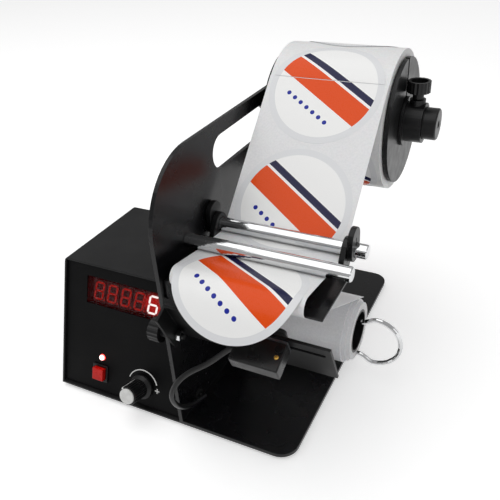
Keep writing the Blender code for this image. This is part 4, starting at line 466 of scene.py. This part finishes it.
def display_block(lit_middle):
    """Black digit blocks behind the window: matt fronts with a faint painted red glow all over, brighter
    round the lit digit.
    """
    made, tree, shader = new_finish("digit_block_face_painted_glow", Roughness=0.55)
    place = add(tree, "TexCoord").outputs["Object"]
    grain = add(tree, "TexNoise", {"Vector": place, "Scale": per_mm(BLOCK_GRAIN), "Detail": 3.0}).outputs[0]
    feed(tree, shader, "Base Color", add(tree, "MixRGB", {
        "Fac": grain, "Color1": linear("#0A0102"), "Color2": linear("#120203")}).outputs[0])
    # Painted glow: the block face emits red, strongest round the lit digit, standing in for the digit's light
    # falling on it.
    away = add(tree, "VectorMath", {0: place, 1: tuple(lit_middle)}, operation="DISTANCE").outputs["Value"]
    painted_red_glow = add(tree, "MapRange", {"Value": away, "From Min": 4.5 * MM, "From Max": 11.5 * MM, "To Min": 1.0,
                                  "To Max": 0.0}, interpolation_type="SMOOTHERSTEP").outputs[0]
    feed(tree, shader, "Emission Color", add(tree, "MixRGB", {
        "Fac": painted_red_glow, "Color1": linear("#300000"), "Color2": linear("#FF1004")}).outputs[0])
    shader.inputs["Emission Strength"].default_value = 0.7
    feed(tree, shader, "Normal", add(tree, "Bump", {
        "Strength": 0.3, "Distance": 0.03 * MM, "Height": grain}).outputs[0])
    return made


def screen_ink(name, shade):
    """Epoxy screen ink on the panel: opaque, a little rough, with the mesh's faint sawtooth in it."""
    made, tree, shader = new_finish(name, Roughness=0.5)
    place = add(tree, "TexCoord").outputs["Object"]
    weave = add(tree, "TexNoise", {"Vector": place, "Scale": per_mm(INK_WEAVE), "Detail": 2.0}).outputs[0]
    tone = add(tree, "MapRange", {"Value": weave, "From Min": 0.3, "From Max": 0.7, "To Min": 0.88,
                                  "To Max": 1.0}).outputs[0]
    feed(tree, shader, "Base Color", add(tree, "MixRGB", {
        "Fac": 1.0, "Color1": linear(shade), "Color2": tone}, blend_type="MULTIPLY").outputs[0])
    feed(tree, shader, "Normal", add(tree, "Bump", {
        "Strength": 0.3, "Distance": 0.02 * MM, "Height": weave}).outputs[0])
    return made


SUPPLY_AXIS = tuple(at(0, 195.8, 191.0))
REWIND_AXIS = tuple(at(0, 110.5, 44.0))
LIT_DIGIT = PANEL @ (Vector((-35.9, 86.6, -3.0)) * MM)
LAMP = PANEL @ (Vector((-79.8, 31.9, 1.6)) * MM)

plate_coat = coated_steel("satin_black_powder_coat_plate", "#0D0D0F", "#2E2E31", 0.26, 0.7, 0.03, 0.3)
cover_coat = coated_steel("fine_textured_black_coat_cover", "#141415", "#343436", 0.5, 0.5, 0.05, 0.28)
panel_coat = coated_steel("matt_black_coat_panel", "#070708", "#242426", 0.55, 0.45, 0.03, 0.1)
arm_coat = coated_steel("satin_black_coat_arm", "#0A0A0B", "#3A3A3D", 0.36, 0.6, 0.03, 0.16)
hub_plastic = moulded_plastic("black_turned_acetal", "#101011", 0.34, 0.5, 0.02)
cam_plastic = moulded_plastic("black_moulded_nylon", "#0B0B0C", 0.30, 0.45, 0.02)
soft_rubber = moulded_plastic("black_moulded_rubber", "#0F0F10", 0.68, 0.7, 0.05, 1.1)
cable_skin = moulded_plastic("black_pvc_cable_skin", "#0D0D0E", 0.38, 0.9, 0.015, 1.2)
chrome = plated_steel("polished_chrome_plate", "#DADBDC", 0.07, 0.25, 0.004, "x")
zinc = plated_steel("bright_zinc_plate", "#BFC0BE", 0.24, 0.4, 0.01, "none")
grey_sheet = plated_steel("grey_phosphated_sheet", "#66676B", 0.42, 0.5, 0.01, "x")
brass = plated_steel("turned_brass", "#C9A04E", 0.25, 0.2, 0.01, "none")
liner = glassine("white_glassine_liner", "#EDEDEE", "#D9DADC")
wound_labels = glassine("wound_label_stock", "#EFEFEF", "#DADBDD", SUPPLY_AXIS)
wound_backing = glassine("wound_bare_backing", "#EBEBED", "#D4D5D8", REWIND_AXIS, 0.5)
brown_card = moulded_plastic("grey_brown_card_core", "#9B7B55", 0.82, 1.1, 0.06, 1.15)
label_print = printed_label()
window_sheet = red_acrylic()
button_plastic = moulded_plastic("red_gloss_abs", "#C80F06", 0.26, 0.6, 0.01, 1.05, 0.25)
cap_plastic = moulded_plastic("white_gloss_abs", "#E4E4E2", 0.28, 0.6, 0.01, 1.05)
board_lacquer = moulded_plastic("green_board_lacquer", "#1E5A34", 0.35, 0.8, 0.02)
block_face = display_block(LIT_DIGIT)
lamp_glow = glowing("lit_red_lamp", "#FFF4EE", "#FF1C08", 2.6, LAMP + Vector((0.0006, -0.0016, 0.0010)), 4.4)
digit_glow = glowing("lit_digit_bars", "#FFF6F2", "#FFD9D0", 2.2, LIT_DIGIT, 14.0)
# Painted glow: the unlit bars are no lamp, yet they emit a dull red.
unlit_digit_painted_glow = glowing("unlit_digit_bars_painted_glow", "#B8160C", "#A01008", 1.0, LIT_DIGIT, 90.0, "#5A0806")
white_ink = screen_ink("white_screen_ink", "#ECECEA")


def dress(look, *nodes):
    for name in nodes:
        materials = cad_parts[name].data.materials
        materials.clear()
        materials.append(look)


dress(plate_coat, "chassis", "peel_plate")
dress(cover_coat, "box_cover", "box_floor", "rear_panel")
dress(panel_coat, "front_panel")
dress(arm_coat, "sensor_arm", "sensor_screw_1", "sensor_screw_2")
dress(hub_plastic, "supply_shaft", "inner_flange", "outer_flange", "flange_collar", "collar_screw",
      "rewind_drum", "arm_knob", "speed_knob", "potentiometer", "sensor_clamp_nut")
dress(cam_plastic, "guide_right_lower", "guide_right_upper", "guide_left_lower", "guide_left_upper",
      "button_bezel", "mains_inlet", "rocker_frame", "power_rocker", "photo_sensor")
dress(soft_rubber, "cable_grommet", *[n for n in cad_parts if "foot" in n])
dress(chrome, "front_rod", "rear_rod", "backing_clip", "arm_nut")
dress(zinc, "reel_bearing", "rewind_bush", "gearbox", "drive_motor", "cover_screw_1", "cover_screw_2",
      "peel_screw_1", "peel_screw_2")
dress(grey_sheet, "sensor_bracket")
dress(liner, "carrier_web", "carrier_return")
dress(wound_labels, "label_roll")
dress(wound_backing, "backing_roll")
dress(brown_card, "roll_core")
dress(window_sheet, "display_window")
dress(block_face, "digit_display")
dress(lamp_glow, "status_led")
dress(button_plastic, "button_cap")
dress(cap_plastic, "knob_cap")
dress(board_lacquer, "control_board")


# The sensor's cable: the same route as the solids', in the machine's millimetres
CABLE_RADIUS = 1.9
CABLE_ROUTE = ((40.0, -16.1, 91.9), (26.0, -20.5, 81.8), (18.0, -24.2, 72.9), (13.5, -25.7, 61.8),
               (12.0, -21.2, 48.8), (11.0, -12.1, 37.0), (9.5, 0.5, 26.6), (7.0, 12.6, 18.3))
CABLE_START = ARM @ (Vector((58.7, -7.4, 22.6)) * MM)
CABLE_END = at(2.0, 24.7, 13.0)
CABLE_STRAIGHT = 4.0 * MM
CABLE_STEP = 2.5 * MM
CABLE_SIDES = 20
CABLE_SOFT_EDGES = 60


def smooth_curve(route, step):
    """Points at even steps along a curve that passes smoothly through the route's points."""
    dense, parts = [], 24
    for i in range(len(route) - 1):
        p0, p1 = route[max(i - 1, 0)], route[i]
        p2, p3 = route[i + 1], route[min(i + 2, len(route) - 1)]
        for k in range(parts):
            t = k / parts
            dense.append(0.5 * (2 * p1 + (p2 - p0) * t + (2 * p0 - 5 * p1 + 4 * p2 - p3) * t ** 2
                                + (3 * p1 - p0 - 3 * p2 + p3) * t ** 3))
    dense.append(route[-1])
    lengths = [0.0]
    for a, b in zip(dense, dense[1:]):
        lengths.append(lengths[-1] + (b - a).length)
    count = max(2, round(lengths[-1] / step))
    points, k = [], 0
    for i in range(count + 1):
        wanted = lengths[-1] * i / count
        while k < len(dense) - 2 and lengths[k + 1] < wanted:
            k += 1
        share = (wanted - lengths[k]) / (lengths[k + 1] - lengths[k])
        points.append(dense[k].lerp(dense[k + 1], share))
    return points


def make_cable():
    route = [CABLE_START, CABLE_START + Vector((-CABLE_STRAIGHT, 0, 0)), *[at(*p) for p in CABLE_ROUTE],
             CABLE_END + Vector((CABLE_STRAIGHT, 0, 0)), CABLE_END]
    path = smooth_curve(route, CABLE_STEP)
    middle = len(path) // 2
    halves = (("sensor_cable_upper", path[:middle + 1], "sensor_cable_b", ("arm", "sensor"), (-1, 0)),
              ("sensor_cable_lower", path[middle:], "sensor_cable_a", ("root", "arm"), (-1, 0)))
    for name, line, node, bodies, (first, last) in halves:
        points, faces = tube_along(line, CABLE_RADIUS * MM, CABLE_SIDES)
        skin = facing_out(mesh_of(name, points, faces))
        made = piece(name, skin, cable_skin, None, CABLE_SOFT_EDGES, (node,))
        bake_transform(made)


make_cable()


# The web's run, back from the top of its arch over the peel edge to the roll, in machine millimetres
ROLL_WHEEL = (195.8, 191.0, 54.45, 1)
REAR_WHEEL = (66.7, 146.5, 5.45, -1)
FRONT_WHEEL = (33.4, 149.4, 5.45, -1)
ARCH_WHEEL = (1.5, 142.3, 6.9, 1)
LABEL_MIDDLE_X = 55.5
LABEL_RADIUS = 43.5
LABEL_SHEET = 0.09
LABEL_PITCH = 92.0
LABEL_REACH = 42.0
LABEL_DROOP = math.radians(60.0)
LABEL_DROOP_SHARES = (2.6, -1.6)
LABEL_ROWS, LABEL_COLUMNS = 150, 22
LABEL_SOFT_EDGES = 40
WEB_SKIN = 0.165
WOUND_RADIUS = 54.15
WOUND_TURN = 1.9 * math.pi
SPLIT_GAP = 0.4
WOUND_END_GAP = 1


def tangent(first, second):
    """Where the web leaves one wheel and meets the next."""
    y1, z1, r1, s1 = first
    y2, z2, r2, s2 = second
    span = math.hypot(y2 - y1, z2 - z1)
    lean = math.atan2(z2 - z1, y2 - y1) + math.acos((s2 * r2 - s1 * r1) / span)
    ny, nz = math.cos(lean), math.sin(lean)
    return (y1 - ny * s1 * r1, z1 - nz * s1 * r1), (y2 - ny * s2 * r2, z2 - nz * s2 * r2)


def round_wheel(wheel, start, end, step=0.25):
    """The web's line round a wheel between two angles, in short steps."""
    y, z, radius, _ = wheel
    count = max(2, int(abs(end - start) * radius / step))
    return [(y + radius * math.cos(start + (end - start) * i / count),
             z + radius * math.sin(start + (end - start) * i / count)) for i in range(count + 1)]


def angle_on(wheel, point):
    return math.atan2(point[1] - wheel[1], point[0] - wheel[0])


def web_run():
    """The line from the arch's top back to the roll and once round it, with where it meets the roll."""
    off_roll, on_rear = tangent(ROLL_WHEEL, REAR_WHEEL)
    off_rear, on_front = tangent(REAR_WHEEL, FRONT_WHEEL)
    off_front, on_arch = tangent(FRONT_WHEEL, ARCH_WHEEL)
    line = round_wheel(ARCH_WHEEL, math.pi / 2, angle_on(ARCH_WHEEL, on_arch))
    for wheel, after, before in ((FRONT_WHEEL, off_front, on_front), (REAR_WHEEL, off_rear, on_rear)):
        line += round_wheel(wheel, angle_on(wheel, after), angle_on(wheel, before))
    line.append(off_roll)
    slope_end = sum(math.dist(a, b) for a, b in zip(line, line[1:]))
    start = angle_on(ROLL_WHEEL, off_roll)
    line += round_wheel((*ROLL_WHEEL[:2], WOUND_RADIUS, 1), start, start - WOUND_TURN)[1:]
    return line, slope_end


def served_run():
    """The peeled half of the served label: off the arch's top, it droops forward by its own weight."""
    steps = 60
    here = (ARCH_WHEEL[0], ARCH_WHEEL[1] + ARCH_WHEEL[2])
    line = [here]
    first, second = LABEL_DROOP_SHARES
    for i in range(steps):
        share = (i + 0.5) / steps
        bend = math.pi + LABEL_DROOP * (first * share + second * share * share)
        here = (here[0] + LABEL_REACH / steps * math.cos(bend),
                here[1] + LABEL_REACH / steps * math.sin(bend))
        line.append(here)
    return line


class Run:
    """A line with its running lengths, to find a place and the upward side at any length along it."""

    def __init__(self, line, start):
        self.line = [line[0]] + [b for a, b in zip(line, line[1:]) if math.dist(a, b) > 1e-6]
        self.lengths = [start]
        for a, b in zip(self.line, self.line[1:]):
            self.lengths.append(self.lengths[-1] + math.dist(a, b))

    def place(self, wanted, lift):
        low, high = 0, len(self.lengths) - 2
        while low < high:
            middle = (low + high + 1) // 2
            low, high = (middle, high) if self.lengths[middle] <= wanted else (low, middle - 1)
        a, b = self.line[low], self.line[low + 1]
        share = (wanted - self.lengths[low]) / (self.lengths[low + 1] - self.lengths[low])
        headings = []
        for k in (low - 1, low, low + 1):
            k = min(max(k, 0), len(self.line) - 2)
            headings.append(Vector((self.line[k + 1][0] - self.line[k][0],
                                    self.line[k + 1][1] - self.line[k][1])).normalized())
        heading = (headings[0] * (1 - share) + headings[1] + headings[2] * share).normalized()
        up = Vector((-heading.y, heading.x))
        return (a[0] + (b[0] - a[0]) * share + up.x * lift, a[1] + (b[1] - a[1]) * share + up.y * lift)


WEB_LINE, SLOPE_END = web_run()
FULL_RUN = Run(list(reversed(served_run())) + WEB_LINE[1:], -LABEL_REACH)


def make_label(name, middle, body, low=-math.inf, high=math.inf, replaces=()):
    """A thin round label that lies on the web's run, its middle so far back from the arch's top."""
    rows, columns = LABEL_ROWS, LABEL_COLUMNS
    points, spots, faces = [], [], []
    thetas = [-math.pi / 2 + math.pi * (i + 0.5) / rows for i in range(rows)]
    stations = [LABEL_RADIUS * math.sin(t) for t in thetas]
    stations = [s for s in stations if low <= middle + s <= high]
    for height in (WEB_SKIN, WEB_SKIN + LABEL_SHEET):
        for s in stations:
            half = math.sqrt(LABEL_RADIUS ** 2 - s ** 2)
            y, z = FULL_RUN.place(middle + s, height)
            for k in range(columns + 1):
                across = half * (2 * k / columns - 1)
                points.append(at(LABEL_MIDDLE_X + across, y, z))
                spots.append((s, across, 0.0))
    count, wide = len(stations), columns + 1
    shift = count * wide
    for i in range(count - 1):
        for k in range(columns):
            a, b = i * wide + k, (i + 1) * wide + k
            faces.append((a, b, b + 1, a + 1))
            faces.append((shift + a, shift + a + 1, shift + b + 1, shift + b))
        for a, b in ((i * wide, (i + 1) * wide), ((i + 1) * wide + columns, i * wide + columns)):
            faces.append((a, shift + a, shift + b, b))
    for k in range(columns):
        faces.append((k + 1, shift + k + 1, shift + k, k))
        a = (count - 1) * wide + k
        faces.append((a, shift + a, shift + a + 1, a + 1))
    mesh = mesh_of(name, points, faces)
    layer = mesh.attributes.new("on_label", "FLOAT_VECTOR", "POINT")
    layer.data.foreach_set("vector", [c for spot in spots for c in spot])
    return piece(name, facing_out(mesh), label_print, body, LABEL_SOFT_EDGES, replaces)


SERVED_MIDDLE = LABEL_RADIUS - LABEL_REACH
make_label("served_label", SERVED_MIDDLE, "root", low=-LABEL_REACH, replaces=("peeled_label",))
make_label("next_label", SERVED_MIDDLE + LABEL_PITCH, "root")
make_label("third_label_on_slope", SERVED_MIDDLE + 2 * LABEL_PITCH, "root", high=SLOPE_END - SPLIT_GAP)
make_label("third_label_on_roll", SERVED_MIDDLE + 2 * LABEL_PITCH, "supply", low=SLOPE_END + SPLIT_GAP)
for turn in (3, 4, 5):
    make_label(f"roll_label_{turn - 2}", SERVED_MIDDLE + turn * LABEL_PITCH, "supply",
               high=SLOPE_END + WOUND_TURN * WOUND_RADIUS - WOUND_END_GAP)


# The display: seven bars and a point for each digit, on the face of its block
DIGIT_FIRST = -93.0
DIGIT_PITCH = 12.7
DIGIT_MIDDLE_UP = 86.6
DIGIT_HALF_WIDE = 3.7
DIGIT_HALF_TALL = 6.9
BAR_HALF = 0.8
BAR_GAP = 0.22
BAR_LIFT, BAR_FACE = 0.02, 0.14
POINT_ASIDE, POINT_RADIUS, POINT_SIDES = 1.0, 0.75, 14
DIGITS = 5
DIGIT_SLANT = math.radians(9.0)
BARS = {"a": (-1, 2, 1, 2), "b": (1, 2, 1, 0), "c": (1, 0, 1, -2), "d": (-1, -2, 1, -2),
        "e": (-1, 0, -1, -2), "f": (-1, 2, -1, 0), "g": (-1, 0, 1, 0)}
SIX = "acdefg"


def bar_outline(middle, bar):
    """One bar of a digit: a long hexagon between two corners, slanted with the digit."""
    x1, u1, x2, u2 = BARS[bar]
    a = Vector((x1 * DIGIT_HALF_WIDE, u1 / 2 * DIGIT_HALF_TALL))
    b = Vector((x2 * DIGIT_HALF_WIDE, u2 / 2 * DIGIT_HALF_TALL))
    along = (b - a).normalized()
    side = Vector((-along.y, along.x))
    a, b = a + along * BAR_GAP, b - along * BAR_GAP
    shape = [a, a + (along + side) * BAR_HALF, b + (side - along) * BAR_HALF, b,
             b - (along + side) * BAR_HALF, a + (along - side) * BAR_HALF]
    if (shape[2] - shape[1]).length == 0:
        return []
    return [(middle + p.x + math.tan(DIGIT_SLANT) * p.y, DIGIT_MIDDLE_UP + p.y) for p in shape]


def front_of(node, place):
    """How far a node reaches out of a leaning frame, in millimetres."""
    back = place.inverted()
    return max((back @ v.co).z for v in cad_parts[node].data.vertices) / MM


def make_digits():
    face = front_of("digit_display", PANEL)
    dark, lit = [], []
    for digit in range(DIGITS):
        middle = DIGIT_FIRST + DIGIT_PITCH * (digit + 0.5)
        for bar in BARS:
            (lit if digit == DIGITS - 1 and bar in SIX else dark).append(bar_outline(middle, bar))
        dark.append(circle((middle + DIGIT_HALF_WIDE + POINT_ASIDE, DIGIT_MIDDLE_UP - DIGIT_HALF_TALL),
                           POINT_RADIUS, POINT_SIDES))
    for name, outlines, look in (("unlit_digit_bars_painted_glow", dark, unlit_digit_painted_glow), ("lit_digit_six", lit, digit_glow)):
        points, faces = slab(outlines, face + BAR_LIFT, face + BAR_FACE)
        piece(name, facing_out(mesh_of(name, points, faces, PANEL)), look, "root")


make_digits()


# The speed knob's printed arc with its plus sign, and the white pointer line on the knob
KNOB = (-39.9, 18.6)
ARC_RADIUS = 13.4
ARC_START, ARC_END = math.radians(161.0), math.radians(18.0)
ARC_THIN, ARC_THICK = 0.7, 1.1
ARC_STEPS = 48
PLUS = (-26.4, 18.0)
PLUS_HALF, PLUS_LINE = 2.0, 0.42
INK = 0.05


def make_speed_scale():
    outer, inner = [], []
    for i in range(ARC_STEPS + 1):
        share = i / ARC_STEPS
        turn = ARC_START + (ARC_END - ARC_START) * share
        half = (ARC_THIN + (ARC_THICK - ARC_THIN) * share) / 2
        for line, radius in ((outer, ARC_RADIUS + half), (inner, ARC_RADIUS - half)):
            line.append((KNOB[0] + radius * math.cos(turn), KNOB[1] + radius * math.sin(turn)))
    quads = [[inner[i], inner[i + 1], outer[i + 1], outer[i]] for i in range(ARC_STEPS)]
    x, u = PLUS
    cross = [[(x - PLUS_HALF, u - PLUS_LINE), (x + PLUS_HALF, u - PLUS_LINE), (x + PLUS_HALF, u + PLUS_LINE),
              (x - PLUS_HALF, u + PLUS_LINE)],
             [(x - PLUS_LINE, u - PLUS_HALF), (x + PLUS_LINE, u - PLUS_HALF), (x + PLUS_LINE, u + PLUS_HALF),
              (x - PLUS_LINE, u + PLUS_HALF)]]
    face = front_of("front_panel", PANEL)
    points, faces = slab(quads, face, face + INK)
    more, sides = slab(cross, face, face + INK)
    faces += [tuple(i + len(points) for i in f) for f in sides]
    mesh = facing_out(mesh_of("speed_scale", points + more, faces, PANEL))
    work = bmesh.new()
    work.from_mesh(mesh)
    bmesh.ops.remove_doubles(work, verts=work.verts, dist=0.001 * MM)
    work.to_mesh(mesh)
    work.free()
    piece("speed_scale", mesh, white_ink, "root")


KNOB_BODY = 7.6
KNOB_TOP = 21.5
KNOB_SKIRT_TOP = 5.0
KNOB_CAP = 6.2
POINTER_TURN = math.radians(133.0)
POINTER_HALF = 0.75
POINTER_STANDS = 0.18


def make_knob_pointer():
    """A strip let into the knob: up its side from the skirt and over the shoulder to the white cap."""
    face = front_of("speed_knob", PANEL)
    line = [(KNOB_BODY - 0.3, face - (KNOB_TOP - KNOB_SKIRT_TOP)), (KNOB_BODY + POINTER_STANDS,
            face - (KNOB_TOP - KNOB_SKIRT_TOP)), (KNOB_BODY + POINTER_STANDS, face - 0.5),
            (KNOB_BODY - 0.2, face + POINTER_STANDS), (KNOB_CAP + 0.1, face + POINTER_STANDS),
            (KNOB_CAP + 0.1, face - 0.5)]
    out = Vector((math.cos(POINTER_TURN), math.sin(POINTER_TURN), 0))
    side = Vector((-out.y, out.x, 0)) * POINTER_HALF
    points = []
    for sign in (-1, 1):
        for radius, height in line:
            points.append(Vector((*KNOB, height)) + out * radius + side * sign)
    count = len(line)
    faces = [(i, (i + 1) % count, count + (i + 1) % count, count + i) for i in range(count)]
    faces += [tuple(reversed(range(count))), tuple(range(count, 2 * count))]
    piece("knob_pointer", facing_out(mesh_of("knob_pointer", points, faces, PANEL)), white_ink, "knob")


make_speed_scale()
make_knob_pointer()


# On the photo sensor's top: its signal lamp and its sensitivity trimmer
SENSOR_LAMP, SENSOR_TRIMMER = (88.3, -3.9), (88.3, -7.9)
LAMP_PROFILE = ((0.0, -0.2), (1.2, -0.2), (1.2, 0.1), (0.9, 0.45), (0.0, 0.6))
TRIMMER_PROFILE = ((0.0, -0.2), (1.5, -0.2), (1.5, 0.15), (1.3, 0.3), (0.4, 0.3), (0.3, 0.0), (0.0, 0.0))
TOP_SIDES = 20


def make_sensor_top():
    top = front_of("photo_sensor", ARM)
    tip = top + LAMP_PROFILE[-1][1]
    glow = glowing("lit_orange_lamp", "#FFF0D8", "#FF6A12", 2.6,
                   ARM @ (Vector((*SENSOR_LAMP, tip)) * MM), 2.4)
    for name, place, profile, look, slot in (
            ("sensor_lamp", SENSOR_LAMP, LAMP_PROFILE, glow, "red_plastic"),
            ("sensor_trimmer", SENSOR_TRIMMER, TRIMMER_PROFILE, brass, "zinc_steel")):
        points, faces = revolved(profile, TOP_SIDES)
        stand = ARM @ Matrix.Translation(Vector((*place, top)) * MM)
        piece(name, facing_out(mesh_of(name, points, faces, stand)), look, "sensor", 40)


make_sensor_top()


# Light, floor and air
FLOOR_SIZE, FLOOR_DROP, FLOOR_LIFT = 6.0, 0.0002, 0.42


def make_stage():
    made, tree, shader = new_finish("pale_paper_sweep", Roughness=0.9)
    place = add(tree, "TexCoord").outputs["Object"]
    tooth = add(tree, "TexNoise", {"Vector": place, "Scale": per_mm(PAPER_TOOTH), "Detail": 2.0}).outputs[0]
    feed(tree, shader, "Base Color", add(tree, "MixRGB", {
        "Fac": tooth, "Color1": linear("#EFEFEF"), "Color2": linear("#F3F3F3")}).outputs[0])
    shader.inputs["Specular IOR Level"].default_value = 0.1
    seen = add(tree, "LightPath")
    lift = seen.outputs["Is Camera Ray"]
    for ray in ("Is Glossy Ray", "Is Transmission Ray"):
        lift = add(tree, "Math", {0: lift, 1: seen.outputs[ray]}, operation="MAXIMUM").outputs[0]
    lift = add(tree, "Math", {0: lift, 1: FLOOR_LIFT}, operation="MULTIPLY").outputs[0]
    shader.inputs["Emission Color"].default_value = linear("#FFFFFF")
    feed(tree, shader, "Emission Strength", lift)
    half = FLOOR_SIZE / 2
    corners = [(x, y, -FLOOR_DROP) for x, y in ((-half, -half), (half, -half), (half, half), (-half, half))]
    mesh = mesh_of("floor", corners, [(0, 1, 2, 3)])
    floor = piece("floor", mesh, made, None)

    world = bpy.data.worlds.new("studio_air")
    bpy.context.scene.world = world
    world.use_nodes = True
    tree = world.node_tree
    tree.nodes.clear()
    seen = add(tree, "LightPath")
    soft = add(tree, "Background", {"Color": linear("#FFFFFF"), "Strength": 0.45})
    white = add(tree, "Background", {"Color": linear("#FFFFFF"), "Strength": 1.0})
    plain = add(tree, "Math", {0: seen.outputs["Is Camera Ray"], 1: seen.outputs["Is Transmission Ray"]},
                operation="MAXIMUM").outputs[0]
    mixed = add(tree, "MixShader", {0: plain, 1: soft.outputs[0], 2: white.outputs[0]})
    add(tree, "OutputWorld", {"Surface": mixed.outputs[0]})


def softbox(name, place, target, size, power):
    light = bpy.data.lights.new(name, "AREA")
    light.shape, light.size, light.size_y = "RECTANGLE", *size
    light.energy = power
    made = bpy.data.objects.new(name, light)
    bpy.context.scene.collection.objects.link(made)
    made.location = place
    made.rotation_mode = "QUATERNION"
    made.rotation_quaternion = (Vector(target) - Vector(place)).to_track_quat("-Z", "Y")


make_stage()
softbox("overhead_softbox", (-0.45, -0.3, 1.6), (0, 0, 0.1), (2.0, 1.6), 13.0)
softbox("right_fill", (1.4, -0.6, 0.9), (0, 0, 0.12), (1.2, 1.2), 3.5)

bpy.context.scene.view_settings.view_transform = "Standard"
